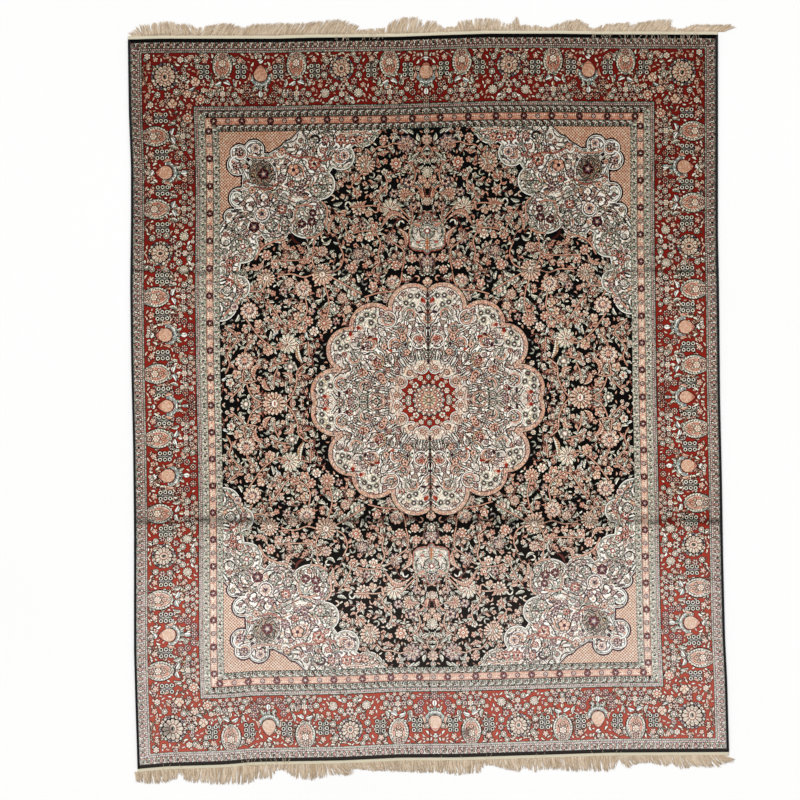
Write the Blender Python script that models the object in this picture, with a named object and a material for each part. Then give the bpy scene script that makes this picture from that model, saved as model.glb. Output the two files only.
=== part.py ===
"""A hand-knotted oriental silk rug, laid out flat on a floor, pile side up.

The rug lies in the XY plane. Its length runs along Y, its width along X, and it
rests on Z = 0. The origin is the middle of the rug with its fringes, on the floor.
Values are in metres, except where a table says millimetres.

Pieces, in the order in which a rug maker makes them:
  pile_body          the knotted pile on its woven ground, one flat slab
  selvedge_left      the dark silk overcasting wrapped round the left edge cords
  selvedge_right     the same on the right
  fringe_top         the plain-woven end band with the warp ends that leave it
  fringe_bottom      the same at the other end
"""

import math

import bmesh
import bpy

# Driving dimensions of the whole rug
RUG_WIDTH = 2.500
RUG_LENGTH = 3.050
RUG_THICKNESS = 0.006
PIECE_GAP = 0.0003
MILLIMETRE = 0.001

# Side overcasting, a flattened cord as thick as the rug
SELVEDGE_WIDTH = 0.011
SELVEDGE_ROUNDING = 0.0022

# Plain-woven band at each end, thinner than the pile
BAND_DEPTH = 0.016
BAND_THICKNESS = 0.0026

# Warp ends beyond the band, gathered into flat locks that lie on the floor
LOCKS_PER_END = 146
LOCK_ROOT_SHARE = 0.84
LOCK_TIP_SHARE = 0.56
LOCK_TIP_THICKNESS = 0.0016
LOCK_RINGS = (0.34, 0.70, 1.00)
LOCK_CURL = 1.35
LOCK_CLEARANCE = 0.0010
LOCK_RAGGEDNESS = 0.0030
LONGEST_LOCK = 0.080
WIDEST_DRIFT = 0.060
SPREADING_ROUNDS = 80

# The outline is as uneven as a hand-made rug's. Each table gives how far an edge
# stands out from the plain rectangle. A station runs from -1 to 1 along the edge,
# from left to right or from bottom to top.
# columns: station, outward offset in millimetres
TOP_EDGE = (
    (-1.00, -2),
    (-0.90, 2),
    (-0.50, 2),
    (-0.40, 6),
    (-0.10, 10),
    (0.00, 15),
    (0.20, 23),
    (0.45, 23),
    (0.60, 20),
    (1.00, 19),
)
BOTTOM_EDGE = (
    (-1.00, 34),
    (-0.90, 23),
    (-0.70, 15),
    (-0.60, 4),
    (-0.30, -2),
    (-0.10, -14),
    (0.10, -15),
    (0.40, -27),
    (0.60, -35),
    (1.00, -38),
)
LEFT_EDGE = (
    (-1.00, -15),
    (-0.80, -5),
    (-0.68, 0),
    (-0.35, 0),
    (-0.12, 4),
    (0.10, 12),
    (0.32, 16),
    (0.50, 13),
    (0.65, 13),
    (0.80, 22),
    (1.00, 26),
)
RIGHT_EDGE = (
    (-1.00, 17),
    (-0.80, 9),
    (-0.68, 0),
    (-0.46, -8),
    (-0.24, -13),
    (0.00, -21),
    (0.32, -26),
    (0.45, -30),
    (1.00, -30),
)
EDGE_STEPS = 20

# How the locks of each fringe lie, read by eye along the two ends. Root is where a
# lock leaves the band, reach how far its tip lies out from the band, and drift how
# far the tip lies to the right of its root.
# columns: root, reach, drift, all in millimetres
TOP_LOCKS = (
    (-1244, 10, -25),
    (-1214, 45, -12),
    (-1159, 50, -10),
    (-1100, 63, -10),
    (-1049, 47, -18),
    (-1007, 50, -14),
    (-988, 33, 4),
    (-935, 48, 36),
    (-880, 52, 38),
    (-829, 38, 25),
    (-795, 31, 18),
    (-778, 47, 30),
    (-736, 51, 30),
    (-525, 52, 34),
    (-448, 63, 34),
    (-389, 56, 34),
    (-334, 38, 36),
    (-313, 14, 12),
    (-237, 23, 0),
    (-195, 25, 4),
    (-173, 55, 17),
    (-123, 69, 21),
    (-59, 68, 12),
    (-42, 23, 8),
    (-25, 51, 21),
    (0, 46, 30),
    (42, 20, 12),
    (102, 19, 6),
    (140, 47, -4),
    (228, 52, 0),
    (288, 51, 6),
    (321, 25, 0),
    (351, 34, 2),
    (364, 57, 1),
    (385, 27, 2),
    (448, 22, 6),
    (495, 8, 2),
    (516, 22, 4),
    (558, 38, 17),
    (601, 49, 21),
    (647, 30, 22),
    (694, 6, 2),
    (715, 25, 12),
    (761, 34, 25),
    (812, 39, 30),
    (829, 20, 12),
    (863, 37, 30),
    (914, 48, 34),
    (977, 51, 34),
    (1007, 18, 14),
    (1066, 11, 8),
    (1091, 27, 22),
    (1167, 30, 34),
    (1227, 27, 42),
    (1250, 16, 38),
)
BOTTOM_LOCKS = (
    (-1245, 42, 13),
    (-1207, 51, 8),
    (-1114, 55, 6),
    (-1076, 42, 4),
    (-1059, 12, 0),
    (-1042, 42, 4),
    (-1016, 57, 0),
    (-915, 67, 0),
    (-767, 76, -4),
    (-725, 60, 2),
    (-678, 58, 2),
    (-661, 30, 0),
    (-627, 18, 2),
    (-593, 40, 0),
    (-564, 60, 0),
    (-496, 67, 4),
    (-445, 57, 8),
    (-420, 41, 16),
    (-399, 52, 32),
    (-369, 47, 46),
    (-344, 23, 20),
    (-302, 27, 18),
    (-247, 38, 24),
    (-141, 44, 17),
    (-56, 52, 16),
    (-14, 48, 8),
    (121, 61, 4),
    (206, 54, 4),
    (227, 21, 2),
    (261, 27, 10),
    (312, 45, 17),
    (363, 53, 12),
    (401, 40, 4),
    (439, 57, 4),
    (489, 46, 8),
    (578, 58, 8),
    (747, 64, 8),
    (781, 51, 4),
    (794, 28, 4),
    (819, 52, 20),
    (857, 32, 16),
    (925, 32, 16),
    (976, 43, 20),
    (1010, 34, 14),
    (1052, 59, 18),
    (1094, 48, 22),
    (1179, 52, 40),
    (1230, 26, 44),
    (1250, 14, 40),
)

# Colours are linear RGB
PILE_COLOUR = (0.245, 0.130, 0.098, 1.0)
SELVEDGE_COLOUR = (0.010, 0.010, 0.014, 1.0)
FRINGE_COLOUR = (0.620, 0.520, 0.390, 1.0)
SILK_ROUGHNESS = 0.48
COTTON_ROUGHNESS = 0.85


def clear_scene():
    """Removes whatever the scene holds."""
    for thing in list(bpy.data.objects):
        bpy.data.objects.remove(thing, do_unlink=True)


def reading(table, place, column):
    """Reads a table's column at a place, going straight from one row to the next."""
    if place <= table[0][0]:
        return table[0][column]
    for before, after in zip(table, table[1:]):
        if place <= after[0]:
            part = (place - before[0]) / (after[0] - before[0])
            return before[column] + (after[column] - before[column]) * part
    return table[-1][column]


def edge_offset(table, station):
    """How far an edge stands out, on the few straight chords that the edge is cut into."""
    step = (station + 1.0) / 2.0 * EDGE_STEPS
    first = min(int(math.floor(step + 1e-9)), EDGE_STEPS - 1)
    before = reading(table, 2.0 * first / EDGE_STEPS - 1.0, 1)
    after = reading(table, 2.0 * (first + 1) / EDGE_STEPS - 1.0, 1)
    return (before + (after - before) * (step - first)) * MILLIMETRE


def rug_point(across, along):
    """The place of a point of the rug. Across and along run from -1 to 1."""
    side, side_table = (1.0, RIGHT_EDGE) if across > 0 else (-1.0, LEFT_EDGE)
    end, end_table = (1.0, TOP_EDGE) if along > 0 else (-1.0, BOTTOM_EDGE)
    x = across * RUG_WIDTH / 2 + side * abs(across) * edge_offset(side_table, along)
    y = along * RUG_LENGTH / 2 + end * abs(along) * edge_offset(end_table, across)
    return x, y


def cloth_material(name, colour, roughness):
    """A plain cloth finish."""
    material = bpy.data.materials.new(name)
    material.use_nodes = True
    shader = material.node_tree.nodes["Principled BSDF"]
    shader.inputs["Base Color"].default_value = colour
    shader.inputs["Roughness"].default_value = roughness
    shader.inputs["Metallic"].default_value = 0.0
    return material


def new_piece(name, shape, material):
    """Puts a finished bmesh in the scene as one named object."""
    bmesh.ops.recalc_face_normals(shape, faces=shape.faces)
    mesh = bpy.data.meshes.new(name)
    shape.to_mesh(mesh)
    shape.free()
    mesh.materials.append(material)
    piece = bpy.data.objects.new(name, mesh)
    bpy.context.scene.collection.objects.link(piece)
    return piece


def inset_point(side, along, inset):
    """A point a little way in from a side edge, level with the ends at the corners."""
    edge_x, _ = rug_point(side, along)
    _, y = rug_point(side * (1.0 - 2.0 * inset / RUG_WIDTH), along)
    return edge_x - side * inset, y


def body_outline():
    """The pile's outline, inside the two selvedges, anticlockwise."""
    inset = SELVEDGE_WIDTH + PIECE_GAP
    stations = [2.0 * step / EDGE_STEPS - 1.0 for step in range(1, EDGE_STEPS)]
    sides = [-1.0] + stations + [1.0]
    bottom = [rug_point(station, -1.0) for station in stations]
    right = [inset_point(1.0, station, inset) for station in sides]
    top = [rug_point(-station, 1.0) for station in stations]
    left = [inset_point(-1.0, -station, inset) for station in sides]
    return bottom + right + top + left


def make_pile_body(material):
    """The knotted body, one flat slab with the rug's own outline."""
    shape = bmesh.new()
    outline = body_outline()
    under = [shape.verts.new((x, y, 0.0)) for x, y in outline]
    over = [shape.verts.new((x, y, RUG_THICKNESS)) for x, y in outline]
    shape.faces.new(under)
    shape.faces.new(over)
    for index, corner in enumerate(under):
        after = (index + 1) % len(under)
        shape.faces.new((corner, under[after], over[after], over[index]))
    return new_piece("pile_body", shape, material)


def selvedge_profile():
    """The overcast cord's section, a flattened oval. Rows of inset from the edge, height."""
    cut = SELVEDGE_ROUNDING
    return (
        (cut, 0.0),
        (0.0, cut),
        (0.0, RUG_THICKNESS - cut),
        (cut, RUG_THICKNESS),
        (SELVEDGE_WIDTH - cut, RUG_THICKNESS),
        (SELVEDGE_WIDTH, RUG_THICKNESS - cut),
        (SELVEDGE_WIDTH, cut),
        (SELVEDGE_WIDTH - cut, 0.0),
    )


def make_selvedge(name, side, material):
    """The overcasting along one side, swept along the rug's uneven edge."""
    shape = bmesh.new()
    rings = []
    for step in range(EDGE_STEPS + 1):
        along = 2.0 * step / EDGE_STEPS - 1.0
        ring = []
        for inset, z in selvedge_profile():
            x, y = inset_point(side, along, inset)
            ring.append(shape.verts.new((x, y, z)))
        rings.append(ring)
    for ring, following in zip(rings, rings[1:]):
        for index, corner in enumerate(ring):
            after = (index + 1) % len(ring)
            shape.faces.new((corner, ring[after], following[after], following[index]))
    shape.faces.new(rings[0])
    shape.faces.new(rings[-1])
    return new_piece(name, shape, material)


def lock_drift(reach, drift):
    """How far a lock would have drifted at the longest lock's reach."""
    full = drift * (LONGEST_LOCK / max(reach, BAND_DEPTH)) ** LOCK_CURL
    return max(-WIDEST_DRIFT, min(WIDEST_DRIFT, full))


def lock_layout(table):
    """Each lock's station, reach and full drift, spread so that no two locks cross."""
    pitch = RUG_WIDTH / LOCKS_PER_END
    nearest = pitch * (LOCK_ROOT_SHARE + LOCK_TIP_SHARE) / 2 + LOCK_CLEARANCE
    stations = [2.0 * (number + 0.5) / LOCKS_PER_END - 1.0 for number in range(LOCKS_PER_END)]
    reaches = []
    tips = []
    for number, station in enumerate(stations):
        root = station * RUG_WIDTH / 2
        reach = reading(table, root / MILLIMETRE, 1) * MILLIMETRE
        drift = reading(table, root / MILLIMETRE, 2) * MILLIMETRE
        ragged = LOCK_RAGGEDNESS * math.sin(number * 2.4) * math.cos(number * 0.7)
        reaches.append(reach + ragged)
        tips.append(root + lock_drift(reach, drift))
    for _ in range(SPREADING_ROUNDS):
        for number in range(1, LOCKS_PER_END):
            short = nearest - (tips[number] - tips[number - 1])
            if short > 0:
                tips[number] += short / 2
                tips[number - 1] -= short / 2
    rows = []
    for station, reach, tip in zip(stations, reaches, tips):
        rows.append((station, reach, tip - station * RUG_WIDTH / 2))
    return rows


def band_stations():
    """Stations along an end band: its two ends, and both sides of each lock's root."""
    half_root = LOCK_ROOT_SHARE / LOCKS_PER_END
    stations = [-1.0]
    for number in range(LOCKS_PER_END):
        middle = 2.0 * (number + 0.5) / LOCKS_PER_END - 1.0
        stations += [middle - half_root, middle + half_root]
    stations.append(1.0)
    return stations


def make_band(shape, end, lock_number):
    """Adds the plain-woven band. Returns the faces that the locks grow from."""
    columns = []
    for station in band_stations():
        x, edge_y = rug_point(station, end)
        near = edge_y + end * PIECE_GAP
        far = edge_y + end * BAND_DEPTH
        section = ((near, 0.0), (far, 0.0), (far, BAND_THICKNESS), (near, BAND_THICKNESS))
        columns.append([shape.verts.new((x, y, z)) for y, z in section])
    roots = []
    for index, (column, following) in enumerate(zip(columns, columns[1:])):
        for corner in range(4):
            after = (corner + 1) % 4
            sides = (column[corner], column[after], following[after], following[corner])
            face = shape.faces.new(sides)
            if corner == 1 and index % 2 == 1:
                face[lock_number] = index // 2
                roots.append(face)
    shape.faces.new(columns[0])
    shape.faces.new(columns[-1])
    bmesh.ops.recalc_face_normals(shape, faces=shape.faces)
    return roots


def make_fringe(name, end, table, material):
    """An end band and its locks, one solid. End is 1 at the top, -1 at the bottom."""
    shape = bmesh.new()
    lock_number = shape.faces.layers.int.new("lock")
    layout = lock_layout(table)
    ends = make_band(shape, end, lock_number)
    pitch = RUG_WIDTH / LOCKS_PER_END
    for part in LOCK_RINGS:
        share = LOCK_ROOT_SHARE + (LOCK_TIP_SHARE - LOCK_ROOT_SHARE) * part
        thickness = BAND_THICKNESS + (LOCK_TIP_THICKNESS - BAND_THICKNESS) * part
        ends = bmesh.ops.extrude_discrete_faces(shape, faces=ends)["faces"]
        for face in ends:
            station, reach, drift = layout[face[lock_number]]
            root_x, root_y = rug_point(station, end)
            x = root_x + drift * (reach * part / LONGEST_LOCK) ** LOCK_CURL
            y = root_y + end * (BAND_DEPTH + reach * part)
            centre = face.calc_center_median()
            for corner in face.verts:
                right = 1.0 if corner.co.x > centre.x else -1.0
                above = 1.0 if corner.co.z > centre.z else 0.0
                corner.co = (x + right * pitch * share / 2, y, above * thickness)
    return new_piece(name, shape, material)


def centre_on_floor(pieces):
    """Moves the pieces together so that the middle of their outline is the origin."""
    corners = [corner.co for piece in pieces for corner in piece.data.vertices]
    middle_x = (min(co.x for co in corners) + max(co.x for co in corners)) / 2
    middle_y = (min(co.y for co in corners) + max(co.y for co in corners)) / 2
    for co in corners:
        co.x -= middle_x
        co.y -= middle_y


def main():
    clear_scene()
    pile = cloth_material("silk_pile", PILE_COLOUR, SILK_ROUGHNESS)
    overcast = cloth_material("silk_overcast", SELVEDGE_COLOUR, SILK_ROUGHNESS)
    cotton = cloth_material("cotton_warp", FRINGE_COLOUR, COTTON_ROUGHNESS)
    centre_on_floor([
        make_pile_body(pile),
        make_selvedge("selvedge_left", -1.0, overcast),
        make_selvedge("selvedge_right", 1.0, overcast),
        make_fringe("fringe_top", 1.0, TOP_LOCKS, cotton),
        make_fringe("fringe_bottom", -1.0, BOTTOM_LOCKS, cotton),
    ])


main()
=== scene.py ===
"""Dresses the oriental silk rug: its knotted pile, side overcasting, end bands and fringes.

The pile's pattern is a chart of knots, drawn here motif by motif as a designer rules and
paints a rug's cartoon. The chart is a quarter of the rug, and the other three mirror it.
"""

import math

import bmesh
import bpy
import numpy as np
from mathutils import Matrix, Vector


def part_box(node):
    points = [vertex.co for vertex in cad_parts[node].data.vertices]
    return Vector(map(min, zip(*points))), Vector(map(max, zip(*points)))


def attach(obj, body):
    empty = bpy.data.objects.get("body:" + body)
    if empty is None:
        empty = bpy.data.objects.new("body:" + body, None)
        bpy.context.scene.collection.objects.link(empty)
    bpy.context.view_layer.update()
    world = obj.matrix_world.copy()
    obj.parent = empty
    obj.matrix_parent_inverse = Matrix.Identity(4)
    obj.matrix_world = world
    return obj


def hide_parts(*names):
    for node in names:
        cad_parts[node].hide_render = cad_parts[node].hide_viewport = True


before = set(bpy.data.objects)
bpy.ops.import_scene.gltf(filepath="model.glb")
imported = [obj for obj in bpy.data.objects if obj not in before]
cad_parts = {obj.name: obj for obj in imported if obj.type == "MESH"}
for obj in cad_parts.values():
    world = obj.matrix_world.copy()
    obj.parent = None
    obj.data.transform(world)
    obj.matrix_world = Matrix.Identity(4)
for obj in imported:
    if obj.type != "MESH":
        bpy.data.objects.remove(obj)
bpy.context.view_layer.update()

bl_info = {
    "name": "Oriental silk rug",
    "version": (1, 0, 0),
    "blender": (4, 5, 0),
    "location": "3D View > Sidebar > Rug",
    "description": "Weaves a medallion rug with its borders, bindings and fringes",
    "category": "Add Mesh",
}

MILLIMETRE = 0.001

# The rug's outline, as in the part's source
RUG_WIDTH = 2.500
RUG_LENGTH = 3.050
SELVEDGE_WIDTH = 0.011
PIECE_GAP = 0.0003
BAND_DEPTH = 0.016

# columns: station along the edge from -1 to 1, outward offset in millimetres
TOP_EDGE = (
    (-1, -2), (-0.9, 2), (-0.5, 2), (-0.4, 6), (-0.1, 10), (0, 15), (0.2, 23), (0.45, 23), (0.6, 20),
    (1, 19),
)
BOTTOM_EDGE = (
    (-1, 34), (-0.9, 23), (-0.7, 15), (-0.6, 4), (-0.3, -2), (-0.1, -14), (0.1, -15), (0.4, -27),
    (0.6, -35), (1, -38),
)
LEFT_EDGE = (
    (-1, -15), (-0.8, -5), (-0.68, 0), (-0.35, 0), (-0.12, 4), (0.1, 12), (0.32, 16), (0.5, 13),
    (0.65, 13), (0.8, 22), (1, 26),
)
RIGHT_EDGE = (
    (-1, 17), (-0.8, 9), (-0.68, 0), (-0.46, -8), (-0.24, -13), (0, -21), (0.32, -26), (0.45, -30),
    (1, -30),
)

# The weaver's middle lines stand a little off the true middle
MIDDLE_FROM_LEFT = 0.505
MIDDLE_FROM_TOP = 0.505

# Knots. One face of the pile's mesh holds a block of six by six knots of 1.5 mm
BLOCK = 6
BLOCK_COLUMNS = 138
BLOCK_ROWS = 170

# The chart is ruled in squares of 4.23 mm. Columns count from the left and rows from
# the top, and the rug's middle is at column 429.5, row 400.
RULING = 0.00423
# One knot's width in those same squares
RULING_KNOT = 0.357
CHART_LEFT = 134.4
CHART_TOP = 36.0
MIDDLE_COLUMN = 429.5
MIDDLE_ROW = 400.0
EDGE_COLUMN = 131.8
SIDE_STRETCH = 1.032

# The motifs' places were read off a rug that lies a little askew
LEAN_ACROSS = 0.009
LEAN_ALONG = -0.0125

# The dyer's sixteen silks
SILKS = (
    ("midnight", "#070504"), ("madder", "#882216"), ("ivory", "#ebe2c9"), ("salmon", "#c99278"),
    ("rose", "#e2bba3"), ("walnut", "#4a1f1a"), ("sage", "#9ba28f"), ("forest", "#454e44"),
    ("sky", "#93a3a1"), ("mauve", "#8b747c"), ("dusk", "#a65f57"), ("honey", "#b5905f"),
    ("white", "#f9f5ea"), ("stone", "#877e72"), ("brick", "#a4452f"), ("plum", "#341a21"),
)
SILK = {name: number for number, (name, _) in enumerate(SILKS)}


def linear(code):
    """An sRGB hex value as linear RGB with full alpha."""
    channels = [int(code[place:place + 2], 16) / 255 for place in (1, 3, 5)]
    curve = [c / 12.92 if c <= 0.04045 else ((c + 0.055) / 1.055) ** 2.4 for c in channels]
    return (*curve, 1.0)


# The rug's outline


# How many stations an edge has, and how many to each side ease a corner
EDGE_STATIONS = 401
EDGE_SPREAD = 9


def smoothed_edge(table):
    """An edge's offsets in metres at even stations, with its corners eased."""
    stations = np.linspace(-1.0, 1.0, EDGE_STATIONS)
    rows = np.array(table)
    offsets = np.interp(stations, rows[:, 0], rows[:, 1]) * MILLIMETRE
    padded = np.pad(offsets, EDGE_SPREAD, mode="reflect", reflect_type="odd")
    window = np.hanning(2 * EDGE_SPREAD + 1)
    return stations, np.convolve(padded, window / window.sum(), mode="valid")


TOP = smoothed_edge(TOP_EDGE)
BOTTOM = smoothed_edge(BOTTOM_EDGE)
LEFT = smoothed_edge(LEFT_EDGE)
RIGHT = smoothed_edge(RIGHT_EDGE)


def side_place(side, along):
    """The X of the left or right edge at a station along the rug."""
    stations, offsets = LEFT if side < 0 else RIGHT
    return side * (RUG_WIDTH / 2 + np.interp(along, stations, offsets))


def end_place(end, x):
    """The Y of the top or bottom edge at an X."""
    stations, offsets = TOP if end > 0 else BOTTOM
    x = np.asarray(x, dtype=float)
    half = np.where(x < 0, -side_place(-1, end), side_place(1, end))
    return end * (RUG_LENGTH / 2 + np.interp(x / half, stations, offsets))


def outline_shift():
    """How far the frame's origin lies from the middle of the plain rectangle."""
    _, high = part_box("pile_body")
    widest = max(outward for _, outward in RIGHT_EDGE) * MILLIMETRE
    longest = max(outward for _, outward in TOP_EDGE) * MILLIMETRE
    inset = SELVEDGE_WIDTH + PIECE_GAP
    return high[0] - (RUG_WIDTH / 2 + widest - inset), high[1] - (RUG_LENGTH / 2 + longest)


SHIFT_X, SHIFT_Y = outline_shift()


def share_across(across):
    """Where a chart station from -1 to 1 lies between the left edge and the right."""
    across = np.asarray(across, dtype=float)
    left = MIDDLE_FROM_LEFT * (1 + across)
    right = MIDDLE_FROM_LEFT + (1 - MIDDLE_FROM_LEFT) * across
    return np.where(across < 0, left, right)


def share_down(along):
    """Where a chart station from 1 to -1 lies between the top edge and the bottom."""
    along = np.asarray(along, dtype=float)
    upper = MIDDLE_FROM_TOP * (1 - along)
    lower = MIDDLE_FROM_TOP - (1 - MIDDLE_FROM_TOP) * along
    return np.where(along > 0, upper, lower)


def cloth_place(across, along, inset=0.0):
    """Where a station of the pile lies on the floor, in the row frame."""
    left = side_place(-1, along) + inset
    right = side_place(1, along) - inset
    x = left + (right - left) * share_across(across)
    top = end_place(1, x)
    bottom = end_place(-1, x)
    y = top + (bottom - top) * share_down(along)
    return x + SHIFT_X, y + SHIFT_Y


# The drawing of the chart


def squared(x, y):
    """Squares up a place that was read off the rug."""
    x, y = np.asarray(x, dtype=float), np.asarray(y, dtype=float)
    return x + LEAN_ACROSS * (MIDDLE_ROW - y), y + LEAN_ALONG * (MIDDLE_COLUMN - x)


class Chart:
    """A quarter of the pattern, one silk's number for each knot."""

    def __init__(self):
        rows, columns = BLOCK * BLOCK_ROWS, BLOCK * BLOCK_COLUMNS
        self.knots = np.zeros((rows, columns), np.uint8)
        across = (MIDDLE_COLUMN - CHART_LEFT) / columns
        down = (MIDDLE_ROW - CHART_TOP) / rows
        self.x = CHART_LEFT + (np.arange(columns) + 0.5) * across
        self.y = CHART_TOP + (np.arange(rows) + 0.5) * down

    def window(self, x, y, reach):
        """The knots within reach of a place, and how far each lies from it."""
        columns = slice(*np.searchsorted(self.x, (x - reach, x + reach)))
        rows = slice(*np.searchsorted(self.y, (y - reach, y + reach)))
        dx = self.x[columns][None, :] - x
        dy = self.y[rows][:, None] - y
        return self.knots[rows, columns], dx, dy


def turned(dx, dy, turn):
    """Distances along and across a direction. Turn is clockwise from straight up."""
    angle = math.radians(turn)
    along = dx * math.sin(angle) - dy * math.cos(angle)
    across = dx * math.cos(angle) + dy * math.sin(angle)
    return along, across


def offset(x, y, along, across, turn):
    """A place so far along and across a direction from another."""
    angle = math.radians(turn)
    step_x = along * math.sin(angle) + across * math.cos(angle)
    step_y = -along * math.cos(angle) + across * math.sin(angle)
    return x + step_x, y + step_y


def draw_disc(chart, x, y, radius, silk, squash=1.0, turn=0.0):
    """A round spot, or an oval one that is longer along its turn."""
    knots, dx, dy = chart.window(x, y, radius * max(1.0, squash))
    along, across = turned(dx, dy, turn)
    knots[(along / squash) ** 2 + across**2 < radius**2] = SILK[silk]


def draw_ring(chart, x, y, radius, width, silk, start=0.0, sweep=360.0):
    """A ring, or the part of one that begins at start and sweeps clockwise."""
    knots, dx, dy = chart.window(x, y, radius + width)
    reach = np.hypot(dx, dy)
    bearing = (np.degrees(np.arctan2(dx, -dy)) - start) % 360.0
    knots[(np.abs(reach - radius) < width / 2) & (bearing <= sweep)] = SILK[silk]


# What a layer of petals has where its row stops short: share of the radius, silk, notch
# depth, silk of the gaps and silk of the ribs
PLAIN_LAYER = (None, None, 0, None, None)


def draw_rosette(chart, x, y, radius, kind, turn=0.0):
    """A flower of layered petals. An egg-shaped one is longest along its turn."""
    petals, egg, outline, *layers = ROSETTES[kind]
    knots, dx, dy = chart.window(x, y, radius * (1 + egg) + 1.4)
    along, across = turned(dx, dy, turn)
    reach = np.hypot(along, across)
    bearing = np.arctan2(across, along)
    shape = radius * (1 + egg * np.cos(bearing))
    part = (bearing * petals / (2 * math.pi)) % 1.0
    lobes = np.abs(np.cos(math.pi * part)) ** 0.6
    wide = reach * 2 * math.pi / petals
    from_gap = np.abs(part - 0.5) * wide
    from_rib = (0.5 - np.abs(part - 0.5)) * wide
    line = 0.17 + 0.014 * radius
    layers = [tuple(layer) + PLAIN_LAYER[len(layer):] for layer in layers]
    notch = layers[0][2]
    edge = min(1.1, 0.46 + 0.07 * radius)
    knots[reach < shape * (1 - notch + notch * lobes) + edge] = SILK[outline]
    for share, silk, notch, gap, rib in layers:
        within = reach < shape * share * (1 - notch + notch * lobes)
        knots[within] = SILK[silk]
        if gap:
            knots[within & (from_gap < line)] = SILK[gap]
        if rib:
            knots[within & (from_rib < line)] = SILK[rib]


# The other half and the rib of a leaf, by its own silk
LEAF_SILKS = {
    "sage": ("ivory", "forest"),
    "ivory": ("sage", "forest"),
    "white": ("sky", "forest"),
    "sky": ("white", "forest"),
    "salmon": ("rose", "brick"),
    "rose": ("salmon", "brick"),
    "honey": ("ivory", "walnut"),
    "mauve": ("stone", "plum"),
    "stone": ("sage", "forest"),
}


def draw_leaf(chart, x, y, turn, length, width, silk, edge=None, rib=None, bend=0.0):
    """A leaf that grows from a place along its turn, bent sideways if wanted."""
    knots, dx, dy = chart.window(x, y, length + width + abs(bend) * length)
    along, across = turned(dx, dy, turn)
    share = np.clip(along / length, 0.0, 1.0)
    middle = bend * length * np.sin(np.pi * share)
    half = width / 2 * np.sin(np.pi * share**0.8) ** 0.8
    beside = np.abs(across - middle)
    within = (along > 0) & (along < length) & (beside < half)
    if edge:
        around = (along > -0.45) & (along < length + 0.45)
        knots[around & (beside < half + 0.6)] = SILK[edge]
    knots[within] = SILK[silk]
    if width > 2.0 and silk in LEAF_SILKS:
        other, line = LEAF_SILKS[silk]
        knots[within & (across > middle)] = SILK[other]
        knots[within & (beside < 0.22) & (share < 0.8)] = SILK[rib or line]
        if length > 8.0:
            teeth = (along % 2.2) < 0.42
            knots[within & teeth & (beside > 0.5)] = SILK[rib or line]


# The step of a smooth line in ruling squares, and about how many knots a square has
PATH_STEP = 0.3
KNOTS_PER_SQUARE = 2.8


def smooth_path(points):
    """A smooth line through the points, in short steps."""
    rows = np.array([points[0], *points, points[-1]], dtype=float)
    path = []
    for before, start, stop, after in zip(rows, rows[1:], rows[2:], rows[3:]):
        count = max(2, int(np.hypot(*(stop - start)) / PATH_STEP))
        t = np.arange(count)[:, None] / count
        path.append(
            0.5 * (2 * start + (stop - before) * t
                   + (2 * before - 5 * start + 4 * stop - after) * t**2
                   + (3 * start - before - 3 * stop + after) * t**3)
        )
    path.append(rows[-2:-1])
    return np.concatenate(path)


def draw_vine(chart, points, width, silk, edge=None):
    """A stem along a smooth line."""
    path = smooth_path(points)
    spans = [(width, silk)]
    if edge:
        spans.insert(0, (width + 0.9, edge))
    for across, colour in spans:
        for x, y in path:
            draw_disc(chart, x, y, across / 2, colour)


def draw_scroll(chart, x, y, radius, turns, start, hand, width, silk):
    """A spiral that winds in from its rim."""
    count = int(radius * turns * 14)
    for step in range(count):
        share = step / count
        reach = radius * (1 - share) ** 0.8
        bearing = math.radians(start + hand * 360 * turns * share)
        draw_disc(chart, x + reach * math.sin(bearing), y - reach * math.cos(bearing),
                  width / 2 * (1 - 0.3 * share), silk)


def inside(chart, path):
    """Which knots lie inside a closed path."""
    path = np.asarray(path)
    following = np.roll(path, -1, axis=0)
    mask = np.zeros(chart.knots.shape, bool)
    for row, y in enumerate(chart.y):
        crossing = (path[:, 1] > y) != (following[:, 1] > y)
        if not crossing.any():
            continue
        start, stop = path[crossing], following[crossing]
        places = start[:, 0] + (y - start[:, 1]) * (stop[:, 0] - start[:, 0]) / (stop[:, 1] - start[:, 1])
        mask[row] = (chart.x[:, None] > places[None, :]).sum(axis=1) % 2 == 1
    return mask


def grown(mask, distance):
    """A mask, grown by a distance in ruling squares."""
    knots = max(1, int(round(distance * KNOTS_PER_SQUARE)))
    wide = mask.copy()
    for _ in range(knots):
        edge = wide.copy()
        edge[1:] |= wide[:-1]
        edge[:-1] |= wide[1:]
        edge[:, 1:] |= wide[:, :-1]
        edge[:, :-1] |= wide[:, 1:]
        wide = edge
    return wide


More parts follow.
